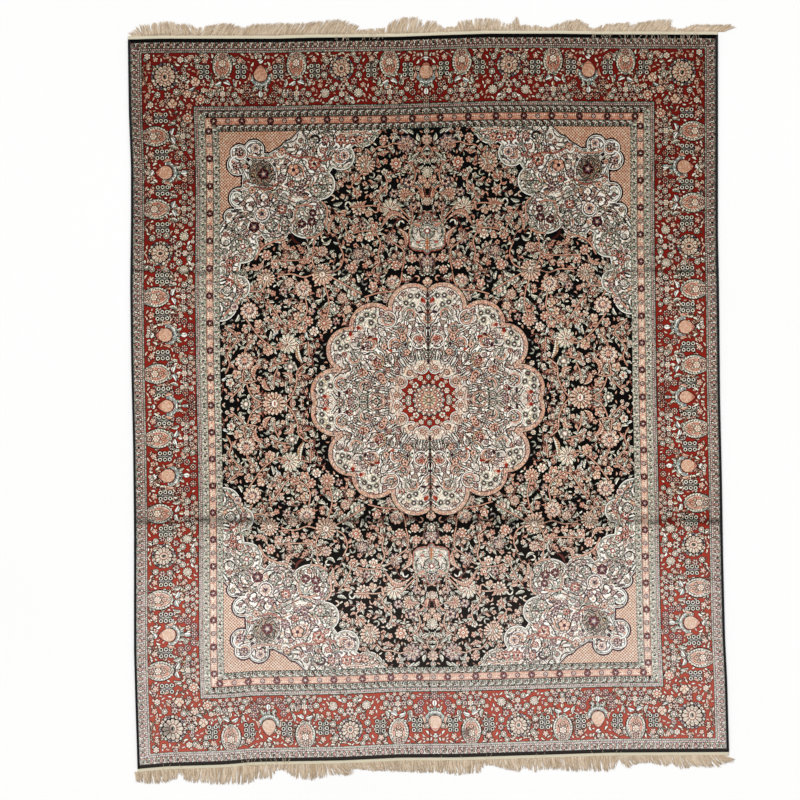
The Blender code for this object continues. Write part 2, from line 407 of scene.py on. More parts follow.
# Petals, how egg-shaped, silk of the outline, and layers from the outside in: share of the
# radius, silk, notch depth between petals, silk of the gaps and silk of the ribs
ROSETTES = {
    "blossom": (
        5, 0, "midnight", (1, "rose", 0.5, "midnight", "ivory"), (0.8, "salmon", 0.45, "walnut"),
        (0.5, "dusk", 0.2), (0.34, "ivory"), (0.14, "walnut"),
    ),
    "salmon": (
        8, 0, "midnight", (1, "rose", 0.4, "midnight", "ivory"), (0.74, "salmon", 0.3, "walnut"),
        (0.46, "brick", 0.1), (0.3, "ivory"), (0.12, "walnut"),
    ),
    "ember": (
        5, 0, "midnight", (1, "salmon", 0.46, "midnight", "rose"), (0.56, "dusk", 0.2), (0.34, "rose"),
        (0.14, "madder"),
    ),
    "daisy": (5, 0, "midnight", (1, "ivory", 0.46, "midnight", "sage"), (0.36, "dusk")),
    "pearl": (
        6, 0, "midnight", (1, "ivory", 0.42, "midnight"), (0.6, "salmon", 0.2, "brick"), (0.34, "ivory"),
        (0.16, "walnut"),
    ),
    "smoke": (
        6, 0, "midnight", (1, "mauve", 0.36, "midnight", "rose"), (0.64, "rose", 0.1, "plum"),
        (0.32, "plum"),
    ),
    "dahlia": (
        15, 0.08, "midnight", (1, "rose", 0.34, "midnight", "ivory"),
        (0.82, "salmon", 0.3, "midnight", "rose"), (0.62, "honey", 0.25, "walnut", "ivory"),
        (0.44, "stone", 0.2, "plum", "rose"), (0.24, "ivory"), (0.1, "dusk"),
    ),
    "mosaic": (
        12, 0.05, "midnight", (1, "rose", 0.3, "midnight", "stone"),
        (0.82, "sage", 0.3, "midnight", "rose"), (0.64, "rose", 0.25, "midnight", "salmon"),
        (0.44, "mauve", 0.2, "plum", "ivory"),
    ),
    "aster": (
        12, 0.08, "midnight", (1, "rose", 0.38, "midnight", "ivory"),
        (0.74, "salmon", 0.25, "walnut", "rose"), (0.48, "dusk", 0.2, "walnut", "salmon"), (0.28, "ivory"),
        (0.12, "brick"),
    ),
    "marigold": (
        13, 0.1, "midnight", (1, "rose", 0.3, "midnight", "ivory"),
        (0.8, "salmon", 0.2, "midnight", "rose"), (0.56, "rose", 0.2, "walnut", "honey"),
        (0.34, "dusk", 0.1), (0.16, "ivory"),
    ),
    "lotus": (
        11, 0.2, "midnight", (1, "rose", 0.38, "midnight", "salmon"),
        (0.76, "ivory", 0.25, "walnut", "salmon"), (0.54, "mauve", 0.2, "plum", "rose"), (0.3, "rose"),
        (0.13, "dusk"),
    ),
    "crown": (
        13, 0.16, "midnight", (1, "sage", 0.36, "midnight", "ivory"),
        (0.8, "ivory", 0.22, "walnut", "honey"), (0.6, "rose", 0.2, "walnut", "ivory"),
        (0.4, "sage", 0.2, "forest", "ivory"), (0.2, "rose"), (0.09, "plum"),
    ),
    "bud": (
        5, 0.28, "midnight", (1, "rose", 0.35, "midnight", "salmon"),
        (0.66, "honey", 0.2, "walnut", "ivory"), (0.34, "dusk", 0, None, "rose"),
    ),
    "frost": (
        9, 0, "midnight", (1, "sage", 0.3, "midnight", "ivory"), (0.62, "stone", 0.2, "walnut"),
        (0.4, "rose", 0.1), (0.2, "white"),
    ),
    "thistle": (
        9, 0.2, "midnight", (1, "mauve", 0.36, "midnight", "rose"), (0.74, "rose", 0.3, "plum", "mauve"),
        (0.5, "stone", 0.2, "midnight", "rose"), (0.26, "rose"), (0.12, "plum"),
    ),
    "berry": (8, 0, "walnut", (1, "dusk", 0.12, "walnut"), (0.45, "rose")),
    "grape": (4, 0, "midnight", (1, "stone"), (0.84, "ivory"), (0.56, "midnight")),
    "eye": (8, 0, "sage", (1, "stone", 0.1), (0.72, "plum"), (0.34, "ivory")),
    "garnet": (
        5, 0, "walnut", (1, "plum", 0.2, None, "dusk"), (0.55, "mauve", 0.1, "plum"), (0.26, "rose"),
    ),
    "petal": (
        5, 0, "midnight", (1, "salmon", 0.4, "midnight", "rose"), (0.6, "rose", 0.1, "brick"),
        (0.3, "plum"),
    ),
    "mist": (
        7, 0, "midnight", (1, "stone", 0.3, "forest", "sage"), (0.6, "rose", 0.2, "dusk"), (0.3, "plum"),
    ),
    "violet": (6, 0, "plum", (1, "mauve", 0.3, "plum", "rose"), (0.5, "ivory", 0, "dusk"), (0.25, "plum")),
    "cinder": (6, 0, "walnut", (1, "dusk", 0.3, "plum", "rose"), (0.5, "ivory"), (0.28, "walnut")),
    "fern": (
        9, 0, "midnight", (1, "sage", 0.25, "midnight", "ivory"), (0.66, "ivory", 0.2, "stone"),
        (0.42, "dusk", 0.1, "walnut"), (0.2, "white"),
    ),
    "shell": (
        11, 0.1, "walnut", (1, "white", 0.15, "stone"), (0.82, "salmon", 0.2, "dusk", "rose"),
        (0.56, "ivory", 0.2, "walnut"), (0.34, "mauve", 0.1), (0.17, "plum"),
    ),
    "centre": (
        16, 0, "walnut", (1, "stone", 0.12, "walnut", "white"), (0.87, "rose", 0.1, "dusk"), (0.8, "dusk"),
        (0.75, "rose", 0, None, "salmon"),
    ),
    "core": (
        12, 0, "dusk", (1, "honey", 0.1, "walnut", "rose"), (0.8, "sage", 0.3, "forest"),
        (0.58, "honey", 0.2, "walnut"), (0.42, "forest", 0.3, "honey"), (0.2, "rose"),
    ),
}


def border_depth(chart):
    """How deep each knot lies in from the rug's edge, and whether that edge is the end."""
    down = (chart.y - CHART_TOP)[:, None]
    across = ((chart.x - EDGE_COLUMN) * SIDE_STRETCH)[None, :]
    return np.minimum(down, across), down < across


# Plain grounds of the border stripes. columns: depth of the outer edge, silk on the
# sides, silk on the ends. Where the two differ, they are one stripe, with painted sheen
# in the lighter silk on the sides and painted shade in the darker silk on the ends
STRIPES = (
    (0, "midnight", "midnight"), (2.7, "stone", "midnight"), (3.4, "stone", "forest"),
    (9.8, "mauve", "mauve"), (11.6, "forest", "forest"), (12.1, "stone", "stone"),
    (13.9, "walnut", "midnight"), (14.3, "madder", "madder"), (66.6, "midnight", "midnight"),
    (67.4, "stone", "stone"), (69, "mauve", "mauve"), (71, "forest", "forest"),
    (71.5, "sage", "forest"), (78.2, "walnut", "walnut"), (78.7, "rose", "salmon"),
    (85.2, "walnut", "walnut"), (85.7, "sage", "forest"), (92.2, "midnight", "midnight"),
)
FIELD_DEPTH = 92.6

# The pale guard's flowers. columns: at the end, pitch, length of the run
PALE_GUARD = ((True, 14.2, 213), (False, 13.6, 282))
PALE_GUARD_DEPTH = 82.0

# Depths of the red border: all of it, the part that its sprays start in, and the part
# that its motifs are cut to
RED_FROM, RED_TO = 14.3, 66.6
SPRAYS_FROM, SPRAYS_TO = 15.0, 66.5
MOTIFS_FROM, MOTIFS_TO = 14.1, 67.0

# Pitch of the sprays over the field and over the red border
SPRAY_PITCH = 13.5

# One unit of the two dark guards. columns: depth from the guard's middle, start, what,
# size, silk
GUARD_UNIT = (
    (0, 0, "hook", 2, "white"), (-0.6, 3.55, "slant", 1.8, "ivory"), (1.8, 3.9, "dot", 0.7, "rose"),
    (-2, 2.2, "dot", 0.6, "sage"), (2.2, 1, "dot", 0.6, "sage"), (-2, 5.4, "dot", 0.6, "brick"),
)
# Small repeats along the stripes. A dash is a lozenge laid along the stripe, and a slant is
# one laid aslant. columns: where, depth of its middle, pitch, start, what, size, silk or kind
REPEATS = (
    ("both", 10.8, 2.2, 0, "dash", 1, "rose"), ("both", 13, 2, 0, "dash", 0.9, "sage"),
    ("both", 68.2, 2, 0, "dash", 0.9, "sage"), ("both", 70.1, 2.2, 0, "dash", 1, "rose"),
    ("side", 6.2, 2.6, 0, "dot", 0.6, "forest"), ("side", 4.4, 2.6, 1.3, "dot", 0.6, "forest"),
    ("side", 8.2, 2.6, 1.3, "dot", 0.6, "walnut"), ("end", 4.4, 2.6, 1.3, "dot", 0.6, "stone"),
    ("end", 8.2, 2.6, 1.3, "dot", 0.6, "sage"), ("both", 6.2, 9.6, 0, "hook", 1.9, "white"),
    ("both", 6.2, 9.6, 4.8, "flower", 2, "violet"), ("both", 4.2, 4.8, 2.4, "dot", 0.7, "sage"),
    ("both", 8.4, 4.8, 2.4, "dot", 0.7, "ivory"), ("both", 8.4, 4.8, 0, "dot", 0.6, "brick"),
    ("both", 4.4, 4.8, 0, "dot", 0.55, "dusk"), ("side", 74.8, 2.4, 0, "dot", 0.55, "forest"),
    ("side", 88.8, 2.4, 0, "dot", 0.55, "forest"), ("side", 72.6, 2.4, 1.2, "dot", 0.5, "stone"),
    ("side", 91.2, 2.4, 1.2, "dot", 0.5, "stone"),
    *(("both", middle + off, 7.1, start, what, size, name) for middle in (75, 89)
      for off, start, what, size, name in GUARD_UNIT),
    ("both", 79.6, 2.1, 0, "slant", 0.9, "dusk"),
    ("both", 84.4, 2.1, 0, "slant", 0.9, "dusk"), ("both", 80.9, 2.1, 0.7, "slant", 1, "ivory"),
    ("both", 83.3, 2.1, 0, "slant", 1, "salmon"),
)


def stripe_place(end, station, depth):
    """A place in the borders, and the turn that points outwards there."""
    if end:
        return MIDDLE_COLUMN - station, CHART_TOP + depth, 0.0
    return EDGE_COLUMN + depth / SIDE_STRETCH, MIDDLE_ROW - station, 270.0


def draw_repeat(chart, end, station, depth, what, size, name):
    """One unit of a small repeat."""
    x, y, out = stripe_place(end, station, depth)
    if what == "dash":
        draw_disc(chart, x, y, 0.6, name, size, out + 90)
    elif what == "dot":
        draw_disc(chart, x, y, size, name)
    elif what == "slant":
        draw_disc(chart, x, y, 0.5, name, size, out + 40)
    elif what == "hook":
        draw_ring(chart, x, y, size, 1.7, "forest", out + 200, 280)
        draw_ring(chart, x, y, size, 0.6, name, out + 240, 150)
        draw_disc(chart, x, y, 0.6, "dusk")
    else:
        draw_rosette(chart, x, y, size, name, out)


def weave_stripes(chart):
    """The grounds of all the borders and their small repeats."""
    depth, at_end = border_depth(chart)
    for edge, side_silk, end_silk in STRIPES:
        chart.knots[depth >= edge] = SILK[side_silk]
        # Where a stripe's silks differ, the ends take its painted shade and the sides its painted sheen
        chart.knots[(depth >= edge) & at_end] = SILK[end_silk]
    for where, middle, pitch, start, what, size, name in REPEATS:
        for end in (True, False):
            if where == ("side" if end else "end"):
                continue
            reach = MIDDLE_ROW - CHART_TOP - middle
            if end:
                reach = MIDDLE_COLUMN - EDGE_COLUMN - middle / SIDE_STRETCH
            for number in range(int((reach - start) / pitch) + 1):
                draw_repeat(chart, end, start + number * pitch, middle, what, size, name)
    for end, pitch, length in PALE_GUARD:
        for number in range(int(length / pitch) + 1):
            x, y, out = stripe_place(end, number * pitch, PALE_GUARD_DEPTH)
            big = (number % 2 == 1) == end
            draw_rosette(chart, x, y, 3.2 if big else 2.2, "garnet" if big else "violet", out)
            for side in (-1, 1):
                away = number * pitch + side * (4.8 if big else 3.8)
                spot_x, spot_y, _ = stripe_place(end, away, PALE_GUARD_DEPTH)
                draw_disc(chart, spot_x, spot_y, 0.6, "walnut" if big else "dusk")


# The main border. columns: what, place along the stripe as a column or a row of the chart
END_MOTIFS = (
    ("almond", 226), ("urn", 264), ("almond", 300), ("medal", 345), ("almond", 393), ("urn", 429.5),
)
SIDE_MOTIFS = (
    ("almond", 132.6), ("urn", 168.6), ("almond", 204.6), ("medal", 248.6), ("almond", 291.6),
    ("urn", 329.6), ("almond", 367.6), ("urn", 400.6),
)

# Parts of each border motif. Beside is how far to the side of the motif's own axis, on
# both sides if it isn't 0, and turn is measured from the outward direction.
# columns: what, beside, depth, size, turn, silk or kind
ALMOND = (
    ("leaf", 8.5, 50, 9, 205, "honey"), ("leaf", 12.5, 48.5, 8.5, 345, "sage"),
    ("wing", 1, 43, 7.5, 115, "sky"), ("tear", 0, 52, 5, 0, "honey"), ("flower", 0, 55, 3, 0, "pearl"),
    ("flower", 5.6, 55, 2.6, 0, "smoke"), ("flower", 11.8, 56, 3, 0, "frost"),
    ("flower", 6.6, 61, 3, 0, "smoke"), ("flower", 0, 60.6, 2.4, 0, "frost"),
    ("flower", 3.2, 65, 2, 0, "blossom"), ("flower", 9.8, 64.4, 2.2, 0, "blossom"),
    ("flower", 15.2, 62, 2.6, 0, "frost"), ("flower", 16.5, 51.5, 2.2, 0, "blossom"),
    ("stem", 18.3, 39.5, 15, 0, "stone"),
    *(("flower", beside, depth, 2.1, 0, "grape") for beside, depth in (
        (15, 28), (15.2, 33), (15, 38), (21.4, 28), (21.6, 33), (21.4, 38))),
    ("flower", 17.6, 21.5, 3, 0, "blossom"),
    ("leaf", 12.6, 19, 4.6, 60, "rose"), ("leaf", 22.5, 17.5, 5, 300, "rose"),
    ("leaf", 12, 42.5, 4.6, 70, "rose"), ("leaf", 21.5, 43.5, 4.6, 60, "rose"),
)
URN = (
    ("berry", 0, 62.6, 3.8, 0, "salmon"), ("berry", 8.4, 62, 3.8, 0, "salmon"),
    ("berry", 13.6, 55.6, 3.8, 0, "dusk"), ("berry", 15, 48.4, 3.8, 0, "salmon"),
    ("leaf", 2.6, 50.5, 6, 40, "white"), ("leaf", 4.2, 47.5, 6, 150, "ivory"),
    ("tear", 0, 58.5, 7, 0, "white"), ("tear", 0, 52, 5, 0, "stone"), ("cup", 0, 36.5, 9.4, 0, "sky"),
    ("drop", 0, 36, 6.6, 0, "salmon"), ("leaf", 12.4, 42, 8, 345, "rose"),
    ("leaf", 9.4, 27.5, 5, 330, "ivory"), ("flower", 0, 22, 2.3, 0, "frost"),
    ("flower", 0, 17.5, 1.9, 0, "pearl"), ("leaf", 1.5, 24, 5, 300, "white"),
    ("leaf", 4.2, 20.5, 4, 20, "ivory"), ("flower", 8, 18.5, 1.8, 0, "blossom"),
    ("flower", 19, 52.5, 2.2, 0, "pearl"),
)
MEDAL = (
    ("flower", 15.4, 22.5, 3, 0, "frost"), ("flower", 18, 29.5, 3.1, 0, "smoke"),
    ("flower", 17.2, 37, 3.1, 0, "frost"), ("flower", 12.5, 43.5, 3.2, 0, "smoke"),
    ("flower", 9, 50.5, 3.2, 0, "frost"), ("flower", 0, 49.5, 4.2, 0, "smoke"),
    ("flower", 5.5, 46.5, 2, 0, "pearl"), ("flower", 0, 56.5, 2.8, 0, "pearl"),
    ("flower", 5.6, 61, 2.9, 0, "frost"), ("flower", 0, 63.6, 2.2, 0, "smoke"),
    ("flower", 16.8, 56, 4.6, 0, "crown"), ("leaf", 12, 62, 5, 300, "white"),
    ("flower", 21.5, 47.5, 2.6, 0, "blossom"), ("flower", 11.5, 64.4, 2, 0, "pearl"),
    ("leaf", 9, 18, 5, 280, "rose"), ("leaf", 3.5, 17, 4.5, 300, "rose"),
    ("leaf", 23.4, 60, 5.5, 330, "rose"), ("round", 0, 31, 12.4, 0, "dahlia"),
)
BORDER_MOTIFS = {"almond": ALMOND, "urn": URN, "medal": MEDAL}


def draw_border_part(chart, x, y, out, what, size, turn, name):
    """One part of a border motif, at its place, with its turn from the outward one."""
    heading = out + turn
    if what == "flower":
        draw_rosette(chart, x, y, size, name, heading)
    elif what == "leaf":
        width = size * (0.34 if name == "rose" else 0.4)
        draw_leaf(chart, x, y, heading, size, width, name, "midnight", None, 0.12)
    elif what == "wing":
        draw_leaf(chart, x, y, heading, size, size * 0.5, name, "midnight", None, -0.15)
    elif what == "stem":
        draw_leaf(chart, x, y, heading, size, 1.5, name, "midnight")
        for step in (0.25, 0.6):
            middle = offset(x, y, size * step, 0.0, heading)
            draw_disc(chart, *middle, 0.45, name, 4.0, heading + 90)
    elif what == "tear":
        draw_leaf(chart, x, y, heading, size, size * 0.62, name, "midnight")
    elif what == "berry":
        draw_disc(chart, x, y, size, "plum")
        draw_disc(chart, x, y, 1.1, name)
        for step in range(8):
            draw_disc(chart, *offset(x, y, 2.5, 0.0, step * 45.0), 0.55, "rose")
    elif what == "cup":
        draw_ring(chart, x, y, size, 4.2, "midnight", out + 82, 196)
        draw_ring(chart, x, y, size, 3.2, name, out + 86, 188)
        draw_ring(chart, x, y, size - 0.9, 0.5, "forest", out + 92, 176)
        draw_ring(chart, x, y, size + 0.9, 0.6, "sage", out + 100, 160)
    elif what == "drop":
        draw_disc(chart, x, y, size + 0.5, "midnight")
        draw_leaf(chart, x, y, out, size * 1.62, size * 1.7, "midnight")
        draw_leaf(chart, x, y, out, size * 1.5, size * 1.5, "dusk")
        draw_disc(chart, x, y, size, "salmon")
        speckle(chart, x, y, size * 1.5, "dusk", "salmon", 1.9)
        speckle(chart, x, y, size * 1.5, "salmon", "honey", 1.35)
        speckle(chart, x, y, size * 1.5, "salmon", "rose", 1.7)
    elif what == "round":
        draw_round_palmette(chart, x, y, size, out)


def speckle(chart, x, y, radius, ground, silk, pitch):
    """Small diagonal rows of dots over one silk of a motif."""
    knots, dx, dy = chart.window(x, y, radius)
    rows = ((dx + dy) / pitch) % 1.0
    ranks = ((dx - dy) / pitch) % 1.0
    knots[(knots == SILK[ground]) & (rows < 0.5) & (ranks < 0.5)] = SILK[silk]


def draw_round_palmette(chart, x, y, size, out):
    """The large round flower of the main border."""
    draw_disc(chart, x, y, size - 0.4, "midnight")
    for step in range(20):
        silk = ("stone", "rose", "sage", "mauve")[step % 4]
        petal = offset(x, y, size - 1.8, 0.0, out + step * 18.0)
        draw_disc(chart, *petal, 2.2, "midnight")
        draw_disc(chart, *petal, 1.6, silk)
        draw_disc(chart, *petal, 0.6, "midnight" if step % 2 else "ivory")
    draw_rosette(chart, x, y, size - 3.4, "mosaic", out)
    draw_disc(chart, x, y, size * 0.30, "walnut", 1.25, out)
    draw_disc(chart, x, y, size * 0.25, "rose", 1.25, out)
    draw_disc(chart, x, y, size * 0.14, "forest", 1.35, out)


# The tall palmette's shapes, each inside the last. columns: length, width, silk
PALMETTE_SHAPES = (
    (33.4, 21.6, "midnight"), (32, 19.6, "sage"), (29.4, 16, "midnight"), (28.6, 14.8, "rose"),
    (26.6, 12, "dusk"), (25.6, 10.8, "salmon"),
)
# Its flowers. columns: place along its axis and beside it, radius, kind
PALMETTE_FLOWERS = (
    (8.6, 0, 2.6, "smoke"), (2, 0, 3.4, "pearl"), (-4.6, 0, 2.2, "petal"), (-9.4, 0, 1.3, "pearl"),
    *((along, side * beside, radius, "pearl") for side in (-1, 1)
      for along, beside, radius in ((6, 4.2, 1.5), (-2.4, 3.4, 1.3), (11.2, 4, 1.3))),
)


def draw_almond(chart, x, y, out):
    """The tall palmette of the main border, its top cut off by the border's edge."""
    base = offset(x, y, -14.5, 0.0, out)
    for length, width, silk in PALMETTE_SHAPES:
        start = offset(*base, (33.0 - length) * 0.6, 0.0, out)
        draw_plain_leaf(chart, *start, out, length, width, silk)
    speckle(chart, x, y, 18.0, "sage", "mauve", 1.5)
    speckle(chart, x, y, 18.0, "rose", "mauve", 2.1)
    speckle(chart, x, y, 18.0, "salmon", "brick", 2.3)
    for step in range(10):
        for side in (-1, 1):
            along = -12.0 + step * 2.7
            beside = side * 8.4 * math.sin(math.pi * min(1.0, (along + 15.5) / 31.0) ** 0.8)
            draw_disc(chart, *offset(x, y, along, beside, out), 0.72, "ivory")
    for along, beside, radius, kind in PALMETTE_FLOWERS:
        draw_rosette(chart, *offset(x, y, along, beside, out), radius, kind, out)


def weave_main_border(chart):
    """The red border's motifs, along the end and along the side."""
    depth, _ = border_depth(chart)
    before = chart.knots.copy()
    for end, motifs in ((True, END_MOTIFS), (False, SIDE_MOTIFS)):
        middle = MIDDLE_COLUMN if end else MIDDLE_ROW
        for what, place in motifs:
            for part, beside, deep, size, turn, name in BORDER_MOTIFS[what]:
                for side in ((1,) if beside == 0 else (-1, 1)):
                    x, y, out = stripe_place(end, middle - place + side * beside, deep)
                    across = -side if end else side
                    draw_border_part(chart, x, y, out, part, size, turn * across, name)
            if what == "almond":
                x, y, out = stripe_place(end, middle - place, 26.5)
                draw_almond(chart, x, y, out)
    outside = (depth < MOTIFS_FROM) | (depth > MOTIFS_TO)
    chart.knots[outside] = before[outside]
    weave_corner(chart)


# The red corner. columns: what, column, row, size, turn, silk or kind
CORNER = (
    ("flower", 148, 57, 3, 0, "pearl"), ("flower", 156, 60, 2.4, 0, "blossom"),
    ("flower", 149, 66, 2.4, 0, "blossom"), ("flower", 181, 60, 3, 0, "pearl"),
    ("flower", 190, 58, 2.8, 0, "blossom"), ("flower", 198, 60, 3.4, 0, "frost"),
    ("flower", 148, 96, 2.8, 0, "blossom"), ("flower", 151, 105, 3, 0, "pearl"),
    ("flower", 184, 70, 2.8, 0, "smoke"), ("flower", 184, 78, 3.4, 0, "frost"),
    ("flower", 182, 86, 3.2, 0, "smoke"), ("flower", 177, 92, 3.2, 0, "frost"),
    ("flower", 168, 95, 3.4, 0, "smoke"), ("flower", 158, 95, 3, 0, "frost"),
    ("flower", 188, 94, 4, 0, "blossom"), ("flower", 196, 83, 4.6, 0, "bud"),
    ("flower", 173, 105, 4.6, 0, "bud"), ("flower", 190, 106, 3, 0, "ember"),
    ("flower", 201, 99, 5, 0, "salmon"), ("flower", 188, 118, 5, 0, "salmon"),
    ("flower", 204, 90, 2.6, 0, "pearl"), ("flower", 162, 104, 2.8, 0, "blossom"),
    ("leaf", 180, 100, 7, 135, "sage"), ("leaf", 190, 90, 6, 60, "white"),
    ("leaf", 164, 100, 6, 220, "rose"), ("leaf", 148, 76, 6, 190, "rose"),
    ("leaf", 150, 88, 6, 170, "rose"), ("leaf", 166, 58, 6, 80, "rose"),
    ("leaf", 176, 64, 5, 110, "ivory"), ("leaf", 200, 70, 6, 200, "rose"),
    ("leaf", 158, 112, 6, 110, "rose"), ("round", 165.5, 77, 14, 315, "dahlia"),
)


def weave_corner(chart):
    """The large flower in the red corner and what stands round it."""
    for what, x, y, size, turn, name in CORNER:
        draw_border_part(chart, *squared(x, y), 0.0, what, size, turn, name)


# The field. The net ground fills the corner, and an ivory spandrel lies between it and
# the dark ground. Each edge is drawn as lobes strung along a line of straight steps.
NET_LINE = (
    (300, 110), (299, 130), (289, 140), (269, 152), (258, 152), (242, 165), (241, 184), (240, 198),
    (230, 212), (216, 228), (200, 240),
)
# The side of one of the net's diamonds in ruling squares
NET_PITCH = 3.1
# columns: column, row, radius
NET_LOBES = ((254, 149, 10.5), (239, 152, 9), (237, 164, 11), (239, 197, 11), (290, 148, 9), (231, 215, 8))
SPANDREL_LINE = (
    (392, 110), (383, 128), (366, 136), (341, 155), (321, 184), (308, 214), (275, 225), (244, 246),
    (238, 282), (222, 302), (214, 324), (204, 330),
)
SPANDREL_LOBES = (
    (362, 131, 15.5), (341, 156, 13.5), (320, 184, 15), (307, 216, 21.5), (275, 226, 15.5), (243, 246, 16),
    (239, 286, 12), (221, 302, 17.5),
)


def corner_region(chart, line, lobes):
    """The knots between the corner of the field and a line of lobes."""
    path = [squared(x, y) for x, y in line]
    corner = (path[-1][0], path[0][1])
    region = inside(chart, np.array([*path, corner], dtype=float))
    for x, y, radius in lobes:
        region |= round_mask(chart, x, y, radius)
    return region


def net_region(chart):
    """The knots of the net, into which the spandrel's own scrolls bite."""
    path = [squared(x, y) for x, y in NET_LINE]
    corner = (path[-1][0], path[0][1])
    region = inside(chart, np.array([*path, corner], dtype=float))
    for x, y, radius in NET_LOBES:
        region &= ~round_mask(chart, x, y, radius)
    return region


# columns: kind, column, row, radius, and turn where it has one
SPANDREL_ROSETTES = (
    ("garnet", 263, 173, 5), ("petal", 293, 169, 6), ("cinder", 314, 163, 6),
    ("cinder", 326, 139, 3.4), ("cinder", 341, 139, 5), ("cinder", 353, 140, 4.2),
    ("petal", 360, 139, 3.8), ("shell", 344, 155, 5.2, 60), ("fern", 321, 182, 5),
    ("fern", 312, 142, 4.5, 300), ("garnet", 313, 212, 3.4), ("garnet", 302, 223, 3.8),
    ("garnet", 312, 221, 4), ("fern", 320, 226, 4.6), ("garnet", 254, 226, 5),
    ("fern", 270, 223, 4.8), ("violet", 273, 233, 3), ("cinder", 237, 258, 3.2),
    ("cinder", 230, 261, 3.6), ("cinder", 230, 267, 3.2), ("fern", 243, 245, 6.5),
    ("violet", 239, 151, 3.8), ("violet", 236, 165, 4), ("shell", 255, 147, 4.6),
    ("fern", 245, 194, 4), ("petal", 252, 189, 3.6), ("cinder", 282, 208, 4.2),
    ("violet", 267, 201, 3.6), ("fern", 284, 221, 4.6), ("violet", 300, 191, 4.2),
    ("fern", 316, 190, 5.6), ("petal", 282, 150, 3.4), ("violet", 281, 177, 4),
    ("cinder", 291, 183, 3.4), ("violet", 302, 183, 3.6), ("fern", 231, 225, 4),
    ("cinder", 230, 282, 3.6), ("fern", 228, 288, 3.8), ("violet", 241, 290, 3.2),
    ("fern", 227, 302, 4.4), ("shell", 235, 305, 3.6, 130), ("petal", 250, 249, 2.8),
    ("fern", 331, 150, 3.6), ("cinder", 323, 150, 3), ("violet", 305, 152, 3.2),
    ("shell", 262, 213, 6),
)

# columns: column, row, radius, turns, start, hand, width, silk
SPANDREL_SCROLLS = (
    (254, 148, 9, 0.9, 240, 1, 1.6, "white"), (237, 151, 8, 0.9, 200, 1, 1.6, "white"),
    (236, 164, 10, 1, 60, -1, 1.7, "white"), (296, 171, 10.5, 1.2, 150, 1, 1.5, "stone"),
    (343, 156, 8.5, 1, 330, 1, 1.6, "white"), (241, 245, 10, 1.1, 300, 1, 1.6, "stone"),
    (231, 227, 6, 1, 270, 1, 1.5, "plum"), (316, 140, 6, 0.9, 280, 1, 1.8, "plum"),
    (262, 213, 8, 0.8, 60, 1, 1.3, "stone"), (284, 146, 7, 1, 250, 1, 1.4, "stone"),
    (238, 196, 9, 0.9, 180, 1, 1.5, "white"), (244, 275, 9.5, 0.7, 220, 1, 1.5, "sage"),
    (305, 215, 9.5, 1.1, 230, 1, 1.5, "sage"), (318, 186, 11, 0.8, 60, 1, 1.4, "sage"),
    (227, 303, 6, 1, 20, 1, 1.3, "stone"), (330, 152, 7, 1, 180, 1, 1.3, "dusk"),
)
SPANDREL_STRAPS = (
    ("dusk", 1.5, ((286, 152), (297, 157), (310, 156), (322, 160), (331, 158))),
    ("salmon", 1.8, ((296, 206), (304, 204), (312, 206))),
    ("salmon", 1.8, ((297, 208), (295, 216), (298, 224))),
    ("salmon", 1.8, ((322, 201), (327, 208), (326, 222), (319, 234), (308, 237))),
    ("stone", 1.4, ((290, 200), (283, 210), (287, 224), (291, 232))),
    ("salmon", 1.5, ((240, 152), (248, 155), (262, 157), (276, 155))),
    ("dusk", 1.4, ((243, 182), (250, 180), (262, 188), (272, 186), (280, 180))),
    ("stone", 1.4, ((236, 210), (244, 215), (252, 212), (262, 219), (275, 212), (279, 200))),
    ("salmon", 1.8, ((256, 258), (262, 247), (272, 241), (284, 238))),
    ("salmon", 1.7, ((238, 268), (237, 278), (243, 287), (240, 296), (232, 306), (224, 314))),
    ("dusk", 1.4, ((222, 275), (231, 278), (239, 284))),
    ("rose", 1.6, ((340, 133), (352, 133), (362, 131), (372, 134))),
    ("sage", 1.6, ((378, 132), (369, 141), (357, 146))),
    ("stone", 1.5, ((303, 132), (309, 138), (320, 133), (332, 131))),
)

